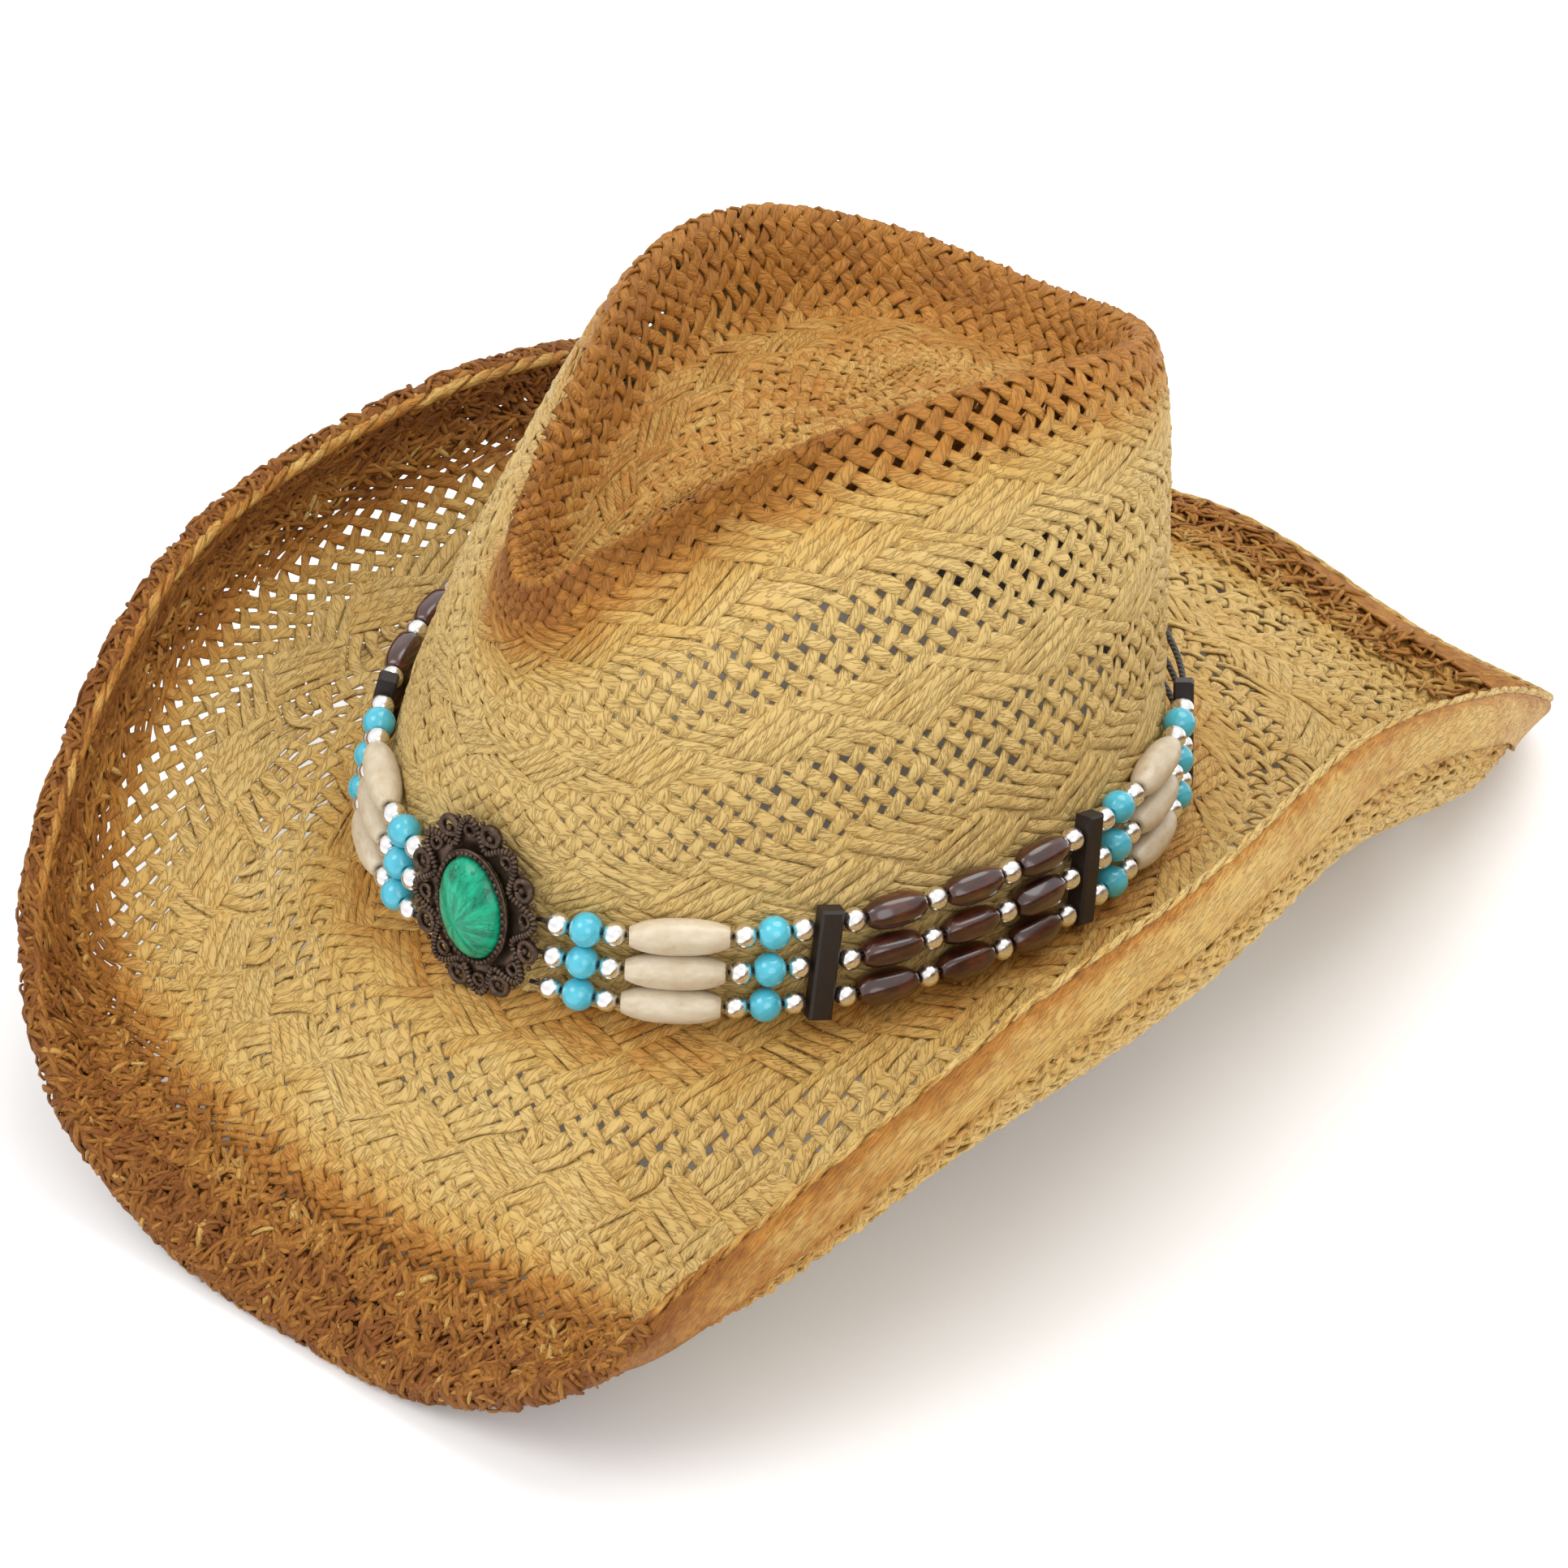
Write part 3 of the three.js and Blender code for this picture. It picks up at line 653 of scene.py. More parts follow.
def object_vector(tree):
    return node(tree, "TexCoord").outputs["Object"]


STRAW_TONES = [
    (0.0, (0.64, 0.45, 0.165)), (0.33, (0.59, 0.365, 0.10)), (0.62, (0.44, 0.185, 0.027)),
    (1.0, (0.225, 0.068, 0.008)),
]
# Painted shade: the colour that the creases of the straw and the lines between its plies are darkened
# towards.
CREASE_SHADE_COLOR = (0.20, 0.085, 0.014)


def strand_twist(tree, along, across, twist):
    """A strand's own place: scaled mm along it, and scaled turns round it that wind along it."""
    uv = node(tree, "SeparateXYZ")
    link(tree, strand_vector(tree, (1, 1, 1)), uv.inputs["Vector"])
    place = node(tree, "CombineXYZ")
    wound = plus(tree, times(tree, uv.outputs["Y"], across), times(tree, uv.outputs["X"], twist))
    link(tree, times(tree, uv.outputs["X"], along), place.inputs["X"])
    link(tree, wound, place.inputs["Y"])
    return place.outputs["Vector"], wound


def thin_line(tree, value, level, sharpness):
    """1 along the line where a value crosses a level, falling to 0 beside it."""
    off = maths(tree, "ABSOLUTE", minus(tree, value, level))
    return minus(tree, 1.0, maths(tree, "MINIMUM", times(tree, off, sharpness), 1.0))


def straw_material(name, strands=1):
    """Twisted straw: crinkled fibres, and thin creases and lines between the plies of each strand, sunk in
    the bump and darkened in the colour with painted shade.
    """
    material, tree = nodes_of(name)
    toast_and_painted_shade = node(tree, "Attribute", attribute_name="toast_and_painted_shade").outputs["Fac"]
    shade = node(tree, "Attribute", attribute_name="shade").outputs["Fac"]
    blotch = noise(tree, object_vector(tree), 55, 4)
    speck = noise(tree, object_vector(tree), 330, 3)
    tone = plus(tree, toast_and_painted_shade, times(tree, minus(tree, blotch, 0.5), 0.42))
    tone = plus(tree, tone, times(tree, minus(tree, speck, 0.5), 0.30))
    tone = plus(tree, tone, times(tree, minus(tree, shade, 0.5), 0.14))
    color = ramp(tree, tone, STRAW_TONES)
    fibre_place, _ = strand_twist(tree, 0.20, 9 * strands, 0.45)
    fibres = noise(tree, fibre_place, 1.6, 4, 0.6)
    streak = ramp(tree, fibres, [(0.25, (0.74, 0.70, 0.62)), (0.5, (0.97,) * 3), (0.75, (1.10,) * 3)])
    color = blend(tree, 1.0, color, streak, "MULTIPLY")
    crease_place, _ = strand_twist(tree, 0.13, 3.4 * strands, 0.22)
    crease = thin_line(tree, noise(tree, crease_place, 1.5, 2), 0.47, 26)
    _, plies = strand_twist(tree, 1, 2 * strands, 1 / 5.5)
    drift = noise(tree, strand_vector(tree, (0.11, 0, 1)), 1.0, 2)
    turn = plus(tree, plies, times(tree, drift, 2.5))
    seam = maths(tree, "FRACT", turn)
    seam = thin_line(tree, seam, 0.5, 11)
    there = noise(tree, strand_vector(tree, (0.10, 1.2 * strands, 1)), 2.0, 2)
    there = ramp(tree, there, [(0.42, (0.0,) * 3), (0.58, (1.0,) * 3)])
    seam = times(tree, seam, there)
    # The creases and ply lines are darkened in the colour as well as sunk in the bump: painted shade.
    dark = maths(tree, "MAXIMUM", times(tree, crease, 0.75), times(tree, seam, 0.8))
    color = blend(tree, times(tree, dark, 0.75), color, CREASE_SHADE_COLOR)
    height = minus(tree, times(tree, fibres, 0.8), times(tree, dark, 0.5))
    return finished(material, {
        "Base Color": color,
        "Normal": bump(tree, height, 0.8, 0.0006),
        "Roughness": 0.55,
        "Specular IOR Level": 0.3,
    })


STRAW_MATERIAL = straw_material("woven_straw")

# ---------------------------------------------------------------- woven crown and brim

CROWN_RINGS = [(0, 19, 23, True), (19, 39, 23, True), (58, 70, 23, True), (88, 104, 23, True)]


def crown_present(distance):
    """Nine cords a group on the wall, seven inside the rim and five on the dish's floor."""
    kinds = np.array([0, 0, 1, 1, 0, 2, 2, 0, 0])
    near = 1 - smooth(distance, WALL_LENGTH + 8, WALL_LENGTH + 18)
    far = 1 - smooth(distance, WALL_LENGTH + 34, WALL_LENGTH + 46)
    shares = np.stack([np.ones_like(distance), near, far], -1)
    return shares[:, kinds]


def brim_present(distance):
    """Eleven cords a group at the crown, fifteen past the first ring, nineteen in the margin."""
    kinds = np.array([0, 0, 1, 1, 0, 0, 2, 2, 0, 0, 0, 1, 1, 0, 0, 2, 2, 0, 0])
    middle = smooth(distance, 33, 40)
    margin = smooth(distance, 68, 76)
    shares = np.stack([np.ones_like(distance), middle, margin], -1)
    return shares[:, kinds]


def crown_toast_and_shade(phi, share, distance):
    """How brown the crown is: at the ridge, most at the front, and inside the rim, where the brown is
    partly toast and partly painted shade of the dish.
    """
    up = distance / WALL_LENGTH
    front = bell(np.arctan2(np.sin(phi), np.cos(phi)), 0, 0.8)
    outside = smooth(up, 0.72 - 0.10 * front, 1.0) * (0.68 + 0.27 * front)
    # Inside the rim the brown is partly toast and partly painted shade of the dish.
    inside = 0.72 - 0.22 * smooth(up, 1.08, 1.30)
    return np.where(up <= 1, outside, inside)


def left_share(phi):
    """1 on the wearer's left of the brim, falling to 0 at its front and on its right."""
    return smooth(np.cos(phi - math.radians(115)), 0.05, 0.85)


def brim_toast(phi, share, distance):
    """How brown the brim is: some under the hatband and a lot at its edge."""
    left = left_share(phi)
    edge = (0.98 - 0.53 * left) * smooth(share, 0.50 + 0.20 * left, 0.86 + 0.10 * left)
    return 0.12 + 0.38 * (1 - smooth(share, 0.04, 0.30)) + edge * 0.88


def no_crumple(phi, distance):
    return 0.1 + 0 * distance


def margin_crumple(phi, distance):
    return 0.12 + (0.90 - 0.35 * left_share(phi)) * smooth(distance, 66, 76)


def wall_length():
    t = np.linspace(0, 1, 200)
    phi = turns(90)
    grid = wall(*np.meshgrid(phi, t))
    return np.linalg.norm(np.diff(grid, axis=0), axis=-1).mean(1).sum()


WALL_LENGTH = wall_length()
FLOOR_RING = (WALL_LENGTH + 28, WALL_LENGTH + 42, 26, True)


def make_weaves():
    crown_weave = Weave(crown, 2.0, crown_present, [*CROWN_RINGS, FLOOR_RING], crown_toast_and_shade, no_crumple)
    crown_weave.close_on_line()
    brim_rings = [(0, 19, 28, True), (35, 54, 32, True), (70, 110, 30, False)]
    brim_weave = Weave(brim, 1.0, brim_present, brim_rings, brim_toast, margin_crumple)
    for node_name, weave, size in (("crown", crown_weave, 9), ("brim", brim_weave, 19)):
        count = GROUPS * size
        for family, word in ((1, "clockwise"), (-1, "counter")):
            for half in (0, 1):
                indices = range(half * count // 2, (half + 1) * count // 2)
                name = f"{node_name}_cords_{word}_{half + 1}"
                builder = weave.build(family, indices)
                builder.make(name, "hat", "straw", [node_name], [STRAW_MATERIAL])


make_weaves()

# ---------------------------------------------------------------- brim edge and sweatband

HEM_STEPS = 2200
HEM_INNER, HEM_OUTER = 1.45, 2.45  # the fold's two faces, off the straw's mid-surface
HEM_RIDGES = 330
ROPE_TURNS = 90
TUFT_COUNT = 7400
EDGE_RADIUS = 180  # mean distance of the edge from the middle of the hat


def edge_frame(phi, outward, normal):
    """Points at the brim's edge: outward past it, or back along the brim where that is negative."""
    point, up, _ = frame_on(brim, phi, 1 - brim_share(np.maximum(-outward, 0)))
    back = brim(phi, 0 * phi + 1 - brim_share(1.4))
    out = unit(brim(phi, 0 * phi + 1) - back)
    return point + out * np.maximum(outward, 0)[..., None] + up * normal[..., None]


def hem_path(reach, offset):
    """The fold's section at a length along it: over the brim, round its edge and back under."""
    over, bend = HEM_OVER, math.pi * HEM_OUTER
    turn = np.clip((reach - over) / bend, 0, 1) * math.pi
    outward = np.where(reach < over, reach - over, offset * np.sin(turn))
    outward = np.where(reach > over + bend, over + bend - reach, outward)
    return outward, offset * np.cos(turn)


def rim_noise(phi, reach, columns, cell):
    """Smooth noise of about unit size over the rim, which meets itself round the hat."""
    grid = RNG.uniform(-1, 1, (40, columns))
    x, y = phi / TURN * columns, reach / cell
    i, j = np.floor(x).astype(int), np.floor(y).astype(int)
    f, g = smooth(x - i, 0, 1), smooth(y - j, 0, 1)
    near = grid[j, i % columns] * (1 - f) + grid[j, (i + 1) % columns] * f
    far = grid[j + 1, i % columns] * (1 - f) + grid[j + 1, (i + 1) % columns] * f
    return near * (1 - g) + far * g


def make_hem():
    """The brim's edge, folded under and pressed: smooth on the left, ridged and rough elsewhere."""
    whole = HEM_OVER + math.pi * HEM_OUTER + HEM_UNDER
    reach = np.concatenate([np.linspace(0, whole, 34), np.linspace(whole, 0, 12)])
    offset = np.concatenate([np.full(34, HEM_OUTER), np.full(12, HEM_INNER)])
    outer = offset == HEM_OUTER
    phi, reach = np.meshgrid(turns(HEM_STEPS), reach, indexing="ij")
    rough = 1 - left_share(phi)
    warp = 1.3 * rim_noise(phi, reach, 230, 4)
    slant = np.sign(rim_noise(phi, reach, 150, 5))
    ridge = np.abs(np.sin(HEM_RIDGES / 2 * phi + slant * 0.55 * reach + warp)) ** 0.7
    lump = rim_noise(phi, reach, 520, 1.6)
    lift = (0.10 + 0.42 * rough) * (ridge - 0.5) + (0.10 + 0.30 * rough) * lump
    outward, normal = hem_path(reach, offset + 0 * phi)
    ends = np.sqrt(np.clip(1 - (2 * reach / whole - 1) ** 16, 0, 1))
    point = edge_frame(phi, outward, normal)
    centre = edge_frame(phi, np.minimum(outward, 0), 0 * normal)
    above = unit(point - centre)
    middle = (HEM_OUTER + HEM_INNER) / 2
    pull = np.where(outer, (lift - (HEM_OUTER - middle)) * ends, (middle - HEM_INNER) * (1 - ends))
    pull = pull + np.where(outer, HEM_OUTER - middle, 0)
    toast_and_painted_shade = 0.34 + 0.60 * rough + 0.10 * lump + 0.10 * rim_noise(phi, reach, 90, 6)
    # On the left the hem is darkened just below the edge rope: painted shade.
    toast_and_painted_shade = toast_and_painted_shade + 0.35 * (1 - rough) * (1 - smooth(reach, HEM_OVER + 4, HEM_OVER + 10))
    shade = 0.5 + 0.4 * rim_noise(phi, reach, 400, 3)
    builder = Builder()
    along = turns(HEM_STEPS) * EDGE_RADIUS
    values = np.stack([toast_and_painted_shade, shade], -1).reshape(-1, 2)
    builder.add(point + above * pull[..., None], along, values, closed=True, point_values=True)
    builder.make("pressed_hem", "hat", "straw_edge", ["brim_hem"], [EDGE_MATERIAL])


def make_edge_rope():
    """Two strands twisted round each other along the top of the edge."""
    builder = Builder()
    steps = ROPE_TURNS * 16
    phi = turns(steps)
    far = 1 - left_share(phi)
    front = bell(np.cos(phi), 1, 0.5)
    size = (1 + 0.55 * far) * (1 - 0.5 * front)
    centre = rim_place(phi, 3.4 - 2.0 * far, 0.35 + 0 * phi)
    direction = tangents(centre, closed=True)
    _, up, _ = frame_on(brim, phi, 0 * phi + 1)
    above = unit(up - direction * (up * direction).sum(1, keepdims=True))
    side = np.cross(direction, above)
    run = run_along(centre)

    def uneven(columns):
        return rim_noise(phi, 0 * phi, columns, 1)

    for strand in (0, 1):
        turn = phi * ROPE_TURNS + strand * math.pi + 0.8 * uneven(200)
        offset = side * np.cos(turn)[:, None] + above * np.sin(turn)[:, None]
        line = centre + (size * (0.58 + 0.10 * uneven(260)))[:, None] * offset
        heading = tangents(line, closed=True)
        radial = unit(offset - heading * (offset * heading).sum(1, keepdims=True))
        width = 0.92 * size * (1 + 0.22 * uneven(320))
        thick = 0.62 * size * (1 + 0.15 * uneven(300))
        rings = tube_rings(line, np.cross(heading, radial), radial, width, thick, circle(10))
        toast_and_painted_shade = 0.10 + 0.42 * far + 0.40 * front + 0.22 * uneven(360)
        shade = 0.5 + 0.4 * uneven(200)
        builder.add(rings, run, np.stack([toast_and_painted_shade, shade], -1), closed=True)
    builder.make("edge_rope", "hat", "straw_edge", ["brim_hem"], [STRAW_MATERIAL])


def rim_place(phi, beyond, lift):
    """Points above the margin at a length beyond the brim's edge, negative on the brim itself."""
    outward, normal = hem_path(HEM_OVER + np.maximum(beyond, -HEM_OVER), HEM_OUTER + lift)
    inside = beyond < -HEM_OVER
    rise = STRAW / 2 + (HEM_OUTER - STRAW / 2) * smooth(beyond, -HEM_OVER - 4, -HEM_OVER)
    return edge_frame(phi, np.where(inside, beyond, outward), np.where(inside, rise + lift, normal))


def make_tufts():
    """Crumpled strands that lie every way over the brown margin, and over its edge."""
    builders = [Builder(), Builder()]
    middle = RNG.uniform(0, TURN, 3 * TUFT_COUNT)
    left = left_share(middle)
    middle = middle[RNG.uniform(0, 1, len(middle)) > 0.93 * left][:TUFT_COUNT]
    count = len(middle)
    left = left_share(middle)
    beyond = 6 - 11 * left - 26 * RNG.uniform(0, 1, count) * (1 - 0.5 * left)
    angle = RNG.choice([-1, 1], count) * np.radians(RNG.uniform(5, 75, count))
    half = RNG.uniform(1.8, 4.4, count)
    share = np.array([-1, -0.5, 0, 0.5, 1])
    bend = RNG.uniform(-0.9, 0.9, count)[:, None] * (share**2 - 0.4)
    across = np.sin(angle)[:, None] * half[:, None] * share + np.cos(angle)[:, None] * bend
    along = np.cos(angle)[:, None] * half[:, None] * share - np.sin(angle)[:, None] * bend
    phi = middle[:, None] + along / EDGE_RADIUS
    lift = RNG.uniform(0.5, 1.3, count)[:, None] - 0.55 * share**2 + RNG.uniform(-0.2, 0.2, (count, 5))
    place = beyond[:, None] + across
    line = rim_place(phi, place, lift)
    above = unit(rim_place(phi, place, lift + 0.2) - line)
    width = RNG.uniform(0.45, 0.95, count)
    thick = RNG.uniform(0.35, 0.55, count)
    toast_and_painted_shade = 0.88 + 0.15 * RNG.uniform(-1, 1, count) - 0.25 * left - 0.22 * smooth(-beyond, 8, 20)
    toast_and_painted_shade = toast_and_painted_shade - 0.30 * (RNG.uniform(0, 1, count) < 0.05)
    shade = RNG.uniform(0, 1, count)
    for k in range(count):
        heading = tangents(line[k])
        side = unit(np.cross(above[k], heading))
        size = width[k] * np.array([0.45, 1, 1.1, 1, 0.45])
        rings = tube_rings(line[k], side, np.cross(heading, side), size, 0 * size + thick[k], circle(5))
        values = np.repeat([[toast_and_painted_shade[k], shade[k]]], 5, axis=0)
        builders[k % 2].add(rings, half[k] * share + RNG.uniform(0, 300), values)
    for number, builder in enumerate(builders, 1):
        name = f"crumpled_margin_{number}"
        builder.make(name, "hat", "straw", ["brim", "brim_hem"], [STRAW_MATERIAL])


def cloth_material():
    material, tree = nodes_of("sweatband_cloth")
    uv = node(tree, "SeparateXYZ")
    link(tree, strand_vector(tree, (1, 60, 1)), uv.inputs["Vector"])
    diagonal = plus(tree, uv.outputs["X"], uv.outputs["Y"])
    rib = maths(tree, "SINE", times(tree, diagonal, TURN / 0.9))
    cross = maths(tree, "SINE", times(tree, uv.outputs["X"], TURN / 0.6))
    weave_height = plus(tree, rib, times(tree, cross, 0.4))
    wear = noise(tree, object_vector(tree), 40, 4)
    # The weave's relief also sets the colour, darker in its grooves and lighter on its ribs: painted shade
    # and painted light.
    tone = plus(tree, times(tree, weave_height, 0.16), wear)
    color = ramp(tree, tone, [(0.2, (0.028, 0.017, 0.012)), (0.55, (0.06, 0.038, 0.027)),
                              (0.85, (0.11, 0.075, 0.055))])
    return finished(material, {
        "Base Color": color,
        "Normal": bump(tree, weave_height, 0.5, 0.0002),
        "Roughness": 0.9,
        "Sheen Weight": 0.3,
    })


def thread_material():
    material, tree = nodes_of("waxed_thread")
    uv = node(tree, "SeparateXYZ")
    link(tree, strand_vector(tree, (TURN / 2.2, TURN, 1)), uv.inputs["Vector"])
    ply = maths(tree, "SINE", plus(tree, uv.outputs["X"], times(tree, uv.outputs["Y"], 2)))
    fuzz = noise(tree, object_vector(tree), 900, 3)
    height = plus(tree, ply, times(tree, fuzz, 0.5))
    # The colour follows the plies' relief and is darker between them: painted shade.
    color = ramp(tree, height, [(0.0, (0.006, 0.005, 0.004)), (1.0, (0.035, 0.027, 0.022))])
    return finished(material, {
        "Base Color": color,
        "Normal": bump(tree, height, 0.6, 0.0002),
        "Roughness": 0.5,
    })


def make_sweatband():
    rows, steps = 14, 240
    outside = -STRAW / 2 - GAP
    inside = outside - SWEATBAND_THICKNESS
    up = np.linspace(wall_share(SWEATBAND_START), wall_share(SWEATBAND_TOP), rows)
    depth = SWEATBAND_THICKNESS / 2
    edge = np.sqrt(np.clip(1 - np.linspace(-1, 1, rows) ** 12, 0, 1))
    middle = (outside + inside) / 2
    shares = np.concatenate([up, up[::-1]])
    offsets = np.concatenate([middle + depth * edge, middle - depth * edge[::-1]])
    phi, t = np.meshgrid(turns(steps), shares, indexing="ij")
    point, normal, _ = frame_on(wall, phi, t)
    sag = 0.12 * np.sin(9 * phi) * np.sin(5 * phi + 1)
    rings = point + normal * (offsets - np.abs(sag))[..., None]
    centre, _, _ = frame_on(wall, phi[:, 0], 0 * phi[:, 0] + up.mean())
    lengths = np.linalg.norm(np.roll(centre, -1, 0) - centre, axis=1)
    run = np.concatenate([[0], np.cumsum(lengths[:-1])])
    builder = Builder()
    builder.add(rings, run, np.zeros((steps, 2)), closed=True)
    band = builder.make("sweatband_cloth", "hat", "sweatband", ["sweatband"], [cloth_material()])
    stitches = Builder()
    count = 150
    for k in range(count):
        angle = (k + np.linspace(-0.3, 0.3, 7)) / count * TURN
        point, normal, _ = frame_on(wall, angle, 0 * angle + wall_share(SWEATBAND_START + 3.5))
        bend = np.cos(np.linspace(-1, 1, 7) * math.pi / 2)
        line = point + normal * (inside - 0.15 + 0.25 * (1 - bend) * 2)[:, None]
        heading = tangents(line)
        side = unit(np.cross(normal, heading))
        size = np.full(7, 0.26)
        stitches.add(tube_rings(line, side, normal, size, size, circle(6)), np.linspace(0, 2.4, 7),
                     np.zeros((7, 2)))
    sewn = stitches.make("sweatband_stitches", "hat", "sweatband", [], [THREAD_MATERIAL])


EDGE_MATERIAL = straw_material("pressed_straw_edge", strands=7)
THREAD_MATERIAL = thread_material()
make_hem()
make_edge_rope()
make_tufts()
make_sweatband()

# ---------------------------------------------------------------- hatband materials


def turquoise_material():
    material, tree = nodes_of("turquoise_glass")
    cloud = noise(tree, object_vector(tree), 260, 4)
    color = ramp(tree, cloud, [(0.25, (0.045, 0.36, 0.48)), (0.5, (0.070, 0.46, 0.59)),
                               (0.8, (0.11, 0.53, 0.66))])
    return finished(material, {
        "Base Color": color,
        "Normal": bump(tree, noise(tree, object_vector(tree), 500), 0.12, 0.0002),
        "Roughness": 0.16,
        "Coat Weight": 0.4,
        "Coat Roughness": 0.06,
    })


def silver_material():
    material, tree = nodes_of("silvered_bead")
    crease = noise(tree, object_vector(tree), 620, 5, 0.6)
    spots = noise(tree, object_vector(tree), 1500, 2)
    color = ramp(tree, spots, [(0.20, (0.05, 0.045, 0.04)), (0.25, (0.86, 0.85, 0.84)),
                               (0.7, (0.93, 0.92, 0.90))])
    return finished(material, {
        "Base Color": color,
        "Roughness": ramp(tree, crease, [(0.3, (0.16,) * 3), (0.7, (0.34,) * 3)]),
        "Normal": bump(tree, crease, 0.05, 0.0004),
        "Metallic": 1.0,
    })


def bone_material():
    material, tree = nodes_of("polished_bone")
    grain = noise(tree, strand_vector(tree, (0.12, 5, 1)), 2.2, 5, 0.6)
    cloud = noise(tree, object_vector(tree), 130, 3)
    tone = plus(tree, times(tree, grain, 0.6), times(tree, cloud, 0.4))
    color = ramp(tree, tone, [(0.28, (0.40, 0.30, 0.17)), (0.42, (0.54, 0.44, 0.30)),
                              (0.6, (0.62, 0.54, 0.405)), (0.8, (0.68, 0.605, 0.475))])
    return finished(material, {
        "Base Color": color,
        "Normal": bump(tree, grain, 0.18, 0.0004),
        "Roughness": 0.34,
        "Subsurface Weight": 0.08,
        "Subsurface Scale": 0.002,
    })


def wood_material():
    material, tree = nodes_of("lacquered_wood")
    grain = noise(tree, strand_vector(tree, (0.10, 8, 1)), 2.6, 6, 0.65)
    cloud = noise(tree, object_vector(tree), 160, 3)
    tone = plus(tree, times(tree, grain, 0.55), times(tree, cloud, 0.45))
    color = ramp(tree, tone, [(0.3, (0.012, 0.003, 0.002)), (0.5, (0.042, 0.009, 0.004)),
                              (0.7, (0.13, 0.030, 0.010))])
    return finished(material, {
        "Base Color": color,
        "Normal": bump(tree, grain, 0.15, 0.0003),
        "Roughness": 0.3,
        "Coat Weight": 0.9,
        "Coat Roughness": 0.10,
    })


def bar_material():
    material, tree = nodes_of("spacer_bar")
    grain = noise(tree, object_vector(tree), 700, 4)
    wear = noise(tree, object_vector(tree), 90, 4)
    tone = plus(tree, times(tree, grain, 0.4), times(tree, wear, 0.6))
    color = ramp(tree, tone, [(0.3, (0.008, 0.004, 0.003)), (0.55, (0.014, 0.007, 0.005)),
                              (0.8, (0.030, 0.015, 0.011))])
    return finished(material, {
        "Base Color": color,
        "Normal": bump(tree, grain, 0.25, 0.0002),
        "Roughness": 0.55,
    })


def bronze_material():
    material, tree = nodes_of("dark_bronze")
    wear = noise(tree, object_vector(tree), 420, 4, 0.6)
    # Pointiness lightens the wires' sharp edges towards the ramp's top colour, a painted highlight, and
    # darkens the hollows between them.
    edge = node(tree, "NewGeometry").outputs["Pointiness"]
    tone = plus(tree, times(tree, wear, 0.7), times(tree, minus(tree, edge, 0.5), 3.0))
    color = ramp(tree, tone, [(0.25, (0.012, 0.007, 0.005)), (0.45, (0.040, 0.024, 0.016)),
                              (0.8, (0.18, 0.115, 0.080))])
    return finished(material, {
        "Base Color": color,
        "Normal": bump(tree, wear, 0.3, 0.0003),
        "Metallic": 0.75,
        "Roughness": 0.42,
    })


def stone_material():
    """Green stone whose streaks and dark veins run out from a point below its middle."""
    material, tree = nodes_of("green_stone")
    x = plus(tree, node(tree, "Attribute", attribute_name="local_x").outputs["Fac"], 1.6)
    y = plus(tree, node(tree, "Attribute", attribute_name="local_y").outputs["Fac"], 3.0)
    angle = maths(tree, "ARCTAN2", y, x)
    reach = maths(tree, "SQRT", plus(tree, times(tree, x, x), times(tree, y, y)))
    place = node(tree, "CombineXYZ")
    link(tree, times(tree, maths(tree, "COSINE", angle), 2.6), place.inputs["X"])
    link(tree, times(tree, maths(tree, "SINE", angle), 2.6), place.inputs["Y"])
    link(tree, times(tree, reach, 0.11), place.inputs["Z"])
    streak = noise(tree, place.outputs["Vector"], 1.5, 4, 0.6)
    color = ramp(tree, streak, [(0.30, (0.0, 0.11, 0.058)), (0.45, (0.0, 0.24, 0.125)),
                                (0.58, (0.001, 0.36, 0.19)), (0.72, (0.02, 0.47, 0.28))])
    line = maths(tree, "ABSOLUTE", minus(tree, noise(tree, place.outputs["Vector"], 2.3, 5), 0.5))
    vein = minus(tree, 1.0, maths(tree, "MINIMUM", times(tree, line, 60), 1.0))
    far = maths(tree, "MINIMUM", times(tree, reach, 0.12), 1.0)
    color = blend(tree, times(tree, vein, far), color, (0.0, 0.035, 0.022))
    return finished(material, {
        "Base Color": color,
        "Roughness": 0.3,
        "Specular IOR Level": 0.25,
        "Coat Weight": 0.25,
        "Coat Roughness": 0.04,
    })


SILVER_MATERIAL, TURQUOISE_MATERIAL = silver_material(), turquoise_material()
BONE_MATERIAL, WOOD_MATERIAL, BAR_MATERIAL = bone_material(), wood_material(), bar_material()
BRONZE_MATERIAL, STONE_MATERIAL = bronze_material(), stone_material()

# ---------------------------------------------------------------- hatband


def both_ends(half):
    """A profile of [share of length, share of radius] from its first half."""
    return half + [[1 - share, radius] for share, radius in half[::-1]]


def round_profile():
    first = math.asin(0.34)
    angles = np.linspace(first, math.pi / 2, 8)[:-1]
    shares = 0.5 - 0.5 * np.cos(angles) / math.cos(first)
    return both_ends([[0.10, 0.22], [0.02, 0.27]] + [[s, math.sin(a)] for s, a in zip(shares, angles)])


ROUND = round_profile()
PIPE = both_ends([[0.04, 0.20], [0, 0.26], [0, 0.50], [0.008, 0.56], [0.05, 0.66], [0.12, 0.79],
                  [0.22, 0.91], [0.34, 0.98], [0.45, 1.0]])
BARREL = both_ends([[0.05, 0.20], [0, 0.26], [0, 0.50], [0.012, 0.57], [0.06, 0.70], [0.15, 0.86],
                    [0.27, 0.96], [0.40, 1.0]])

# length, radius, profile, facets, material slot
SILVER = (5.3, 2.95, ROUND, 0, 0)
TURQUOISE = (7.3, 4.1, ROUND, 0, 1)
BONE = (22.8, 4.25, PIPE, 0, 1)
WOOD = (14.8, 4.1, BARREL, 6, 1)
PATH_SAMPLES = 720


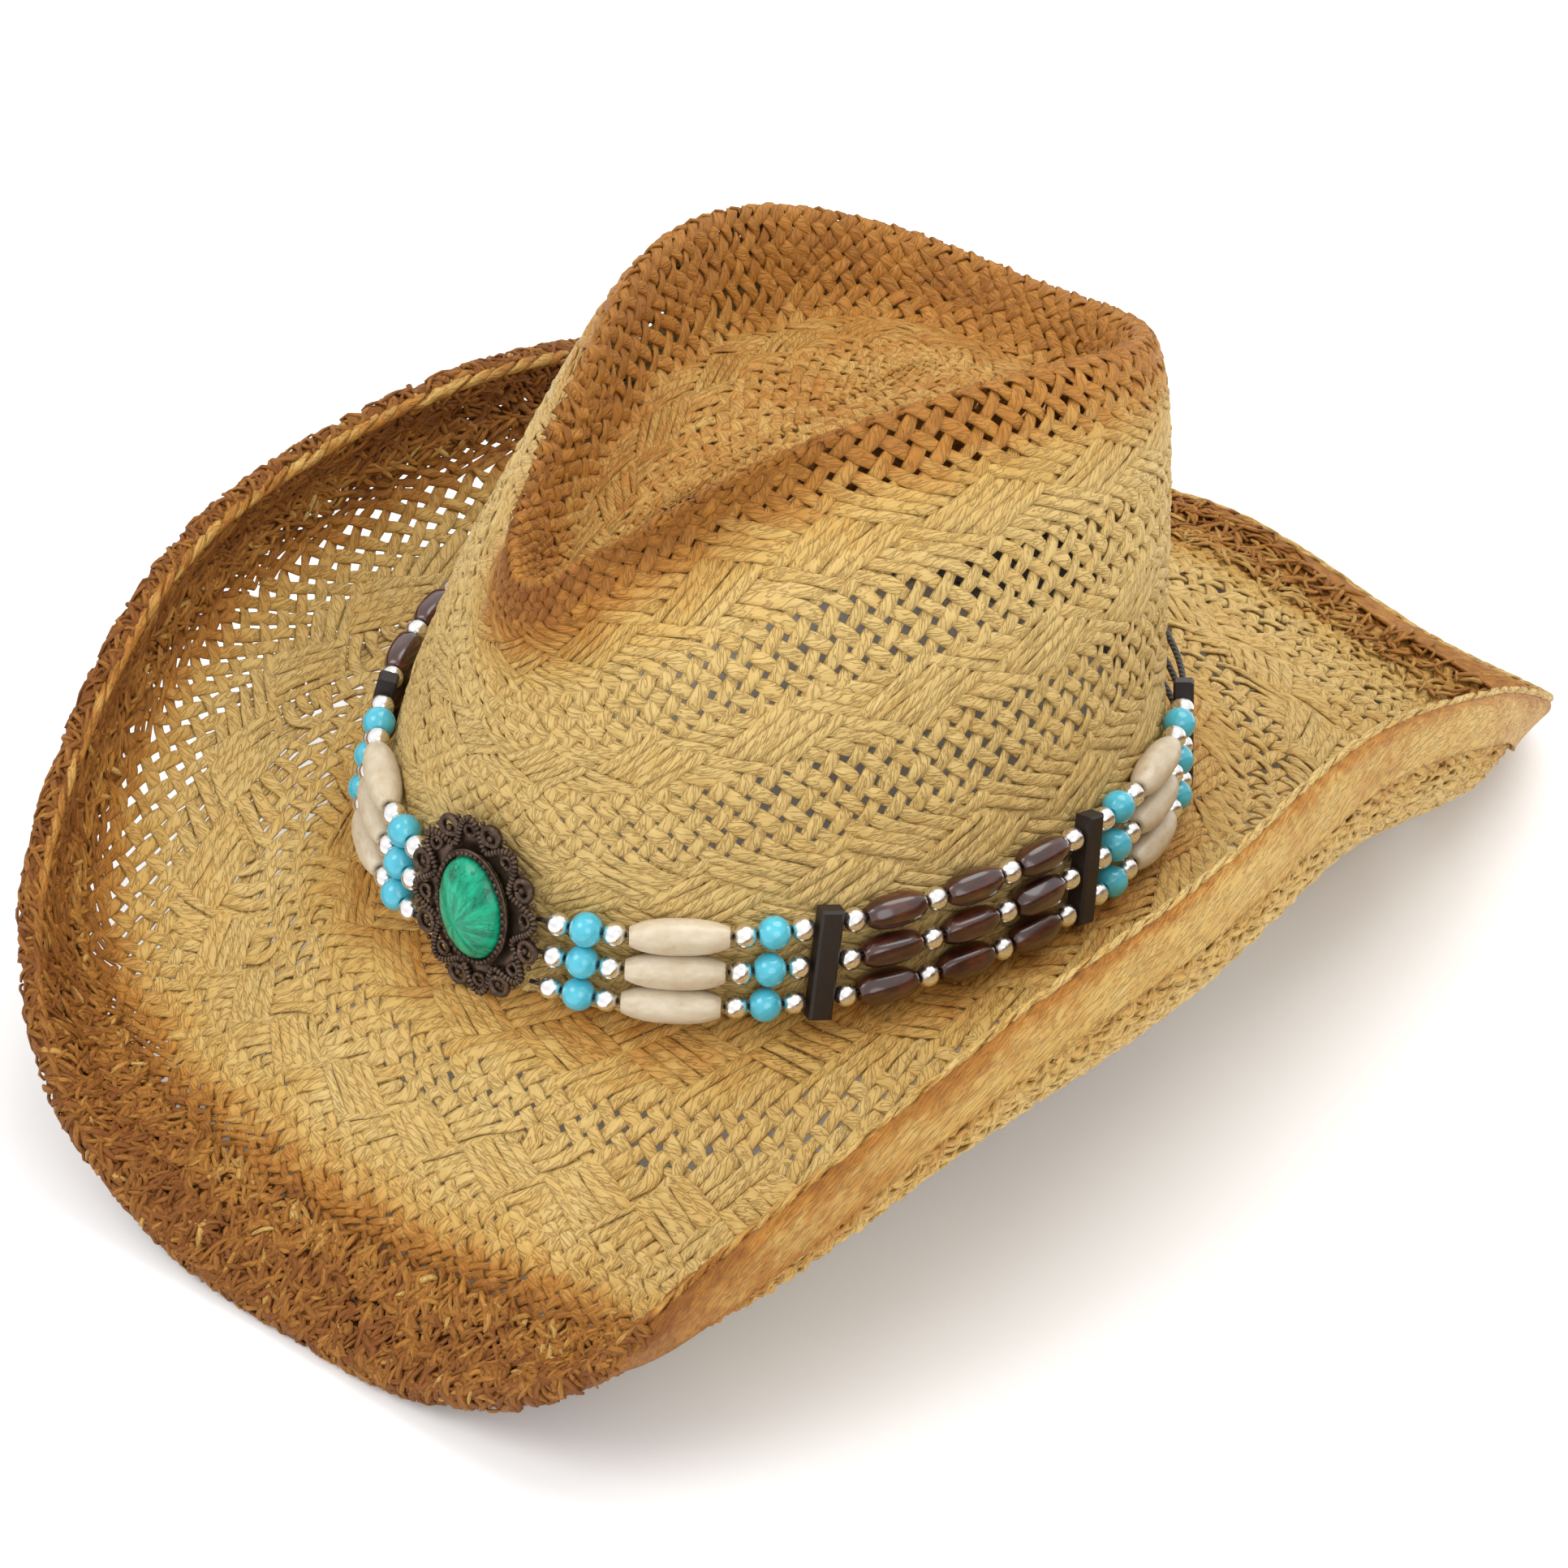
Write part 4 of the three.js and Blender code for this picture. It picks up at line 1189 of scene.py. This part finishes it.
def strand_path(height):
    phi = np.linspace(0, TURN, PATH_SAMPLES + 1)
    point, normal, _ = frame_on(wall, phi, wall_share(height - BAND_TILT * np.sin(phi)))
    line = point + normal * BEAD_CENTRE
    lengths = run_along(line)

    def at(length):
        wanted = np.mod(length, lengths[-1])
        return np.stack([np.interp(wanted, lengths, line[:, k]) for k in range(3)], -1)

    return at, lengths[-1]


PATHS = [strand_path(BAND_MID_HEIGHT + (k - 1) * STRAND_PITCH) for k in range(3)]


def add_bead(builder, at, sense, start, bead):
    """One rigid bead, which lies along the chord of its strand."""
    length, radius, profile, facets, slot = bead
    first, last = at(sense * start), at(sense * (start + length))
    middle = at(sense * (start + length / 2))
    centre = 0.35 * middle + 0.65 * (first + last) / 2
    axis = unit(last - first)
    side = unit(np.cross(UP, axis))
    above = np.cross(axis, side)
    sides = 24
    a = turns(sides)
    turned = a + RNG.uniform(0, TURN)
    size = radius * RNG.uniform(0.96, 1.03) * np.ones(sides)
    if facets:
        wedge = TURN / facets
        flat = math.cos(wedge / 2) / np.cos(np.mod(turned, wedge) - wedge / 2)
        size = size * (1 + 0.75 * (flat - 1) + 0.02)
    ring_points = np.cos(a)[:, None] * side + np.sin(a)[:, None] * above
    rings = np.stack([centre + axis * (share - 0.5) * length + ring_points * (size * r)[:, None]
                      for share, r in profile])
    along = np.array([share for share, _ in profile]) * length + RNG.uniform(0, 500)
    builder.add(rings, along, np.full((len(profile), 2), 0.5), slot)


def add_thread(builder, at, sense, start, end, radius, slot):
    s = np.linspace(start, end, max(5, int((end - start) / 2.5)))
    line = at(sense * s)
    heading = tangents(line)
    side = unit(np.cross(UP, heading))
    size = np.full(len(s), radius)
    rings = tube_rings(line, side, np.cross(heading, side), size, size, circle(10))
    builder.add(rings, s, np.full((len(s), 2), 0.5), slot)


def bead_group(side, sense, name, beads, start, slot, bright, tie=0.0):
    """One strand group of beads on each of the three strands. Returns where the next one starts."""
    end = start
    for strand, (at, _) in zip(STRANDS, PATHS):
        builder = Builder()
        end = start
        for bead in beads:
            add_bead(builder, at, sense, end, bead)
            end += bead[0] + BEAD_NECK
        end -= BEAD_NECK
        add_thread(builder, at, sense, start - 0.2 - tie, end + 0.2, 0.55, 2)
        node_name = f"{side}_{name}_{strand}"
        materials = [SILVER_MATERIAL, bright, THREAD_MATERIAL]
        builder.make("string_" + node_name, "hatband", slot, [node_name], materials)
    return end + BEAD_GAP


CLUSTER = [SILVER, TURQUOISE, SILVER]
BARRELS = [SILVER, WOOD, SILVER, WOOD, SILVER, WOOD, SILVER]


def make_band_side(side, sense):
    def bone_group(name, start, tie=0.0):
        glass = ("turquoise", TURQUOISE_MATERIAL)
        end = bead_group(side, sense, f"{name}_beads_a", CLUSTER, start, *glass, tie)
        end = bead_group(side, sense, f"{name}_hair_pipe", [BONE], end, "bone", BONE_MATERIAL)
        return bead_group(side, sense, f"{name}_beads_b", CLUSTER, end, *glass)

    bar = BAR_WIDTH + BEAD_GAP
    place = CONCHO_WIDTH / 2 + CONCHO_LOBE + GAP
    place = bone_group("front", place, tie=2.5) + bar
    place = bead_group(side, sense, "wood_beads", BARRELS, place, "wood", WOOD_MATERIAL) + bar
    return bone_group("rear", place) + bar


def make_band():
    end = make_band_side("left", 1)
    make_band_side("right", -1)
    for strand, (at, total) in zip(STRANDS, PATHS):
        builder = Builder()
        add_thread(builder, at, 1, end, total - end, 0.85, 0)
        name = f"rear_cord_{strand}"
        builder.make("waxed_" + name, "hatband", "cord", [name], [THREAD_MATERIAL])
    for side in ("left", "right"):
        for number in (1, 2, 3):
            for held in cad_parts[f"{side}_bar_{number}"].material_slots:
                held.material = BAR_MATERIAL


make_band()

# ---------------------------------------------------------------- concho


def concho_frame():
    phi = np.array([0.0])
    point, normal, _ = frame_on(wall, phi, phi + wall_share(CONCHO_HEIGHT))
    normal = normal[0]
    level = np.cross(unit(UP - normal * (UP @ normal)), normal)
    up = math.cos(CONCHO_ROLL) * np.cross(normal, level) - math.sin(CONCHO_ROLL) * level
    origin = point[0] + normal * (STRAW / 2 + CONCHO_STANDOFF)
    return origin, np.stack([np.cross(up, normal), up, normal])


CONCHO_ORIGIN, CONCHO_AXES = concho_frame()


def on_concho(points):
    return CONCHO_ORIGIN + np.asarray(points, float) @ CONCHO_AXES


def oval(angle, half_width, half_height, z):
    return np.stack([half_width * np.sin(angle), half_height * np.cos(angle), z + 0 * angle], -1)


def add_wire(builder, line, radius, closed=False, knurl=0.0, squash=1.0):
    """A cast wire along a line in the concho's plane, plain or roped."""
    run = run_along(line)
    heading = tangents(line, closed)
    face = np.array([0.0, 0, 1]) + 0 * line
    side = unit(np.cross(face, heading))
    above = np.cross(heading, side)
    turns = max(1, round(run[-1] / 1.05))
    size = radius * (1 + knurl * np.cos(TURN * turns * run / run[-1])) + 0 * run
    rings = on_concho(tube_rings(line, side, above, size, size * squash, circle(8)))
    builder.add(rings, run, np.full((len(line), 2), 0.5), closed=closed)


def add_ball(builder, centre, radius):
    bands = np.linspace(-0.92, 0.92, 7) * math.pi / 2
    turn = turns(10)
    ball = np.stack([np.cos(bands)[:, None] * np.cos(turn), np.cos(bands)[:, None] * np.sin(turn),
                     np.sin(bands)[:, None] + 0 * turn], -1)
    builder.add(on_concho(np.array(centre) + radius * ball), bands, np.full((7, 2), 0.5))


def add_scroll(builder, angle, half_width, half_height, size, radius, z, lean=0.0):
    """A C-shaped scroll whose curled ends face the stone."""
    centre = oval(np.array(angle), half_width, half_height, z)
    outward = unit(centre * [1, 1, 0])
    heading = math.atan2(outward[1], outward[0]) + lean
    share = np.linspace(-1, 1, 33)
    turn = heading + np.radians(172) * share
    reach = size * (1 - 0.42 * np.abs(share) ** 3)
    line = centre + np.stack([reach * np.cos(turn), reach * np.sin(turn), 0 * turn], -1)
    add_wire(builder, line, radius, squash=1.25)


SCROLLS = 8
SCROLL_OVAL = (16.2, 19.6)  # half width and half height of the ring of large scrolls


def make_concho():
    """A dark oval ring with thick scrolls and roped waves on it, and small gaps at its rim."""
    plate = Builder()
    steps = turns(96)
    # The flat ring under the wires carries them and, dark between them, also stands in for the openwork's
    # shaded holes: painted shade.
    section = [(9.6, 13.1, 0.1), (15.6, 19.1, 0.1), (16.0, 19.5, 0.4), (15.6, 19.1, 0.7), (9.6, 13.1, 1.2)]
    rings = np.stack([on_concho(oval(steps, w, h, z)) for w, h, z in section], 1)
    plate.add(rings, steps * 12, np.full((96, 2), 0.5), closed=True)
    turn = turns(960)
    wave = 0.5 + 0.5 * np.cos(SCROLLS * turn)
    rope = np.stack([(12.2 + 5.9 * wave) * np.sin(turn), (15.7 + 6.0 * wave) * np.cos(turn),
                     2.0 + 0 * turn], -1)
    add_wire(plate, rope, 0.78, closed=True, knurl=0.22)
    for k in range(SCROLLS):
        angle = (k + 0.5) * TURN / SCROLLS
        add_scroll(plate, angle, *SCROLL_OVAL, 2.5, 0.82, 1.7, lean=0.25 * (-1) ** k)
        add_ball(plate, oval(np.array(angle), *SCROLL_OVAL, 2.0), 0.85)
        for sign in (-1, 1):
            corner = angle + sign * 0.19
            add_ball(plate, oval(np.array(corner), 18.3, 21.6, 1.5), 0.62)
        inner = k * TURN / SCROLLS
        add_scroll(plate, inner, 14.9, 18.4, 1.6, 0.6, 1.6)
    plate.make("concho_openwork", "hatband", "concho", ["concho_plate"], [BRONZE_MATERIAL])

    bezel = Builder()
    low = CONCHO_THICKNESS + GAP
    add_wire(bezel, oval(steps, 10.1, 13.6, low + 0.2), 0.8, closed=True, squash=0.7)
    balls = 46
    for k in range(balls):
        add_ball(bezel, oval(np.array(k / balls * TURN), 9.95, 13.45, low + 0.8), 0.66)
    bezel.make("milled_bezel", "hatband", "concho", ["concho_bezel"], [BRONZE_MATERIAL])

    stone = Builder()
    share = np.concatenate([[0.985, 1.0], np.sin(np.linspace(math.pi / 2, 0.02, 22))])
    lift = np.concatenate([[0, 0.06], 0.10 + 0.90 * (1 - share[2:] ** 2.3) ** 0.62])
    around = turns(72)
    local = np.stack([oval(around, STONE_HALF_WIDTH * s, STONE_HALF_HEIGHT * s, low + STONE_RISE * h)
                      for s, h in zip(share, lift)])
    stone.add(on_concho(local), share, local[..., :2].reshape(-1, 2), point_values=True)
    names = ("local_x", "local_y")
    stone.make("stone_cabochon", "hatband", "cabochon", ["cabochon"], [STONE_MATERIAL], names)


make_concho()

# ---------------------------------------------------------------- brim wire


def wire_material():
    material, tree = nodes_of("hem_wire")
    scratches = noise(tree, object_vector(tree), 900, 3)
    color = ramp(tree, scratches, [(0.3, (0.22, 0.22, 0.22)), (0.7, (0.45, 0.45, 0.46))])
    return finished(material, {
        "Base Color": color,
        "Normal": bump(tree, scratches, 0.2, 0.0001),
        "Metallic": 1.0,
        "Roughness": 0.4,
    })


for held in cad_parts["brim_wire"].material_slots:
    held.material = wire_material()
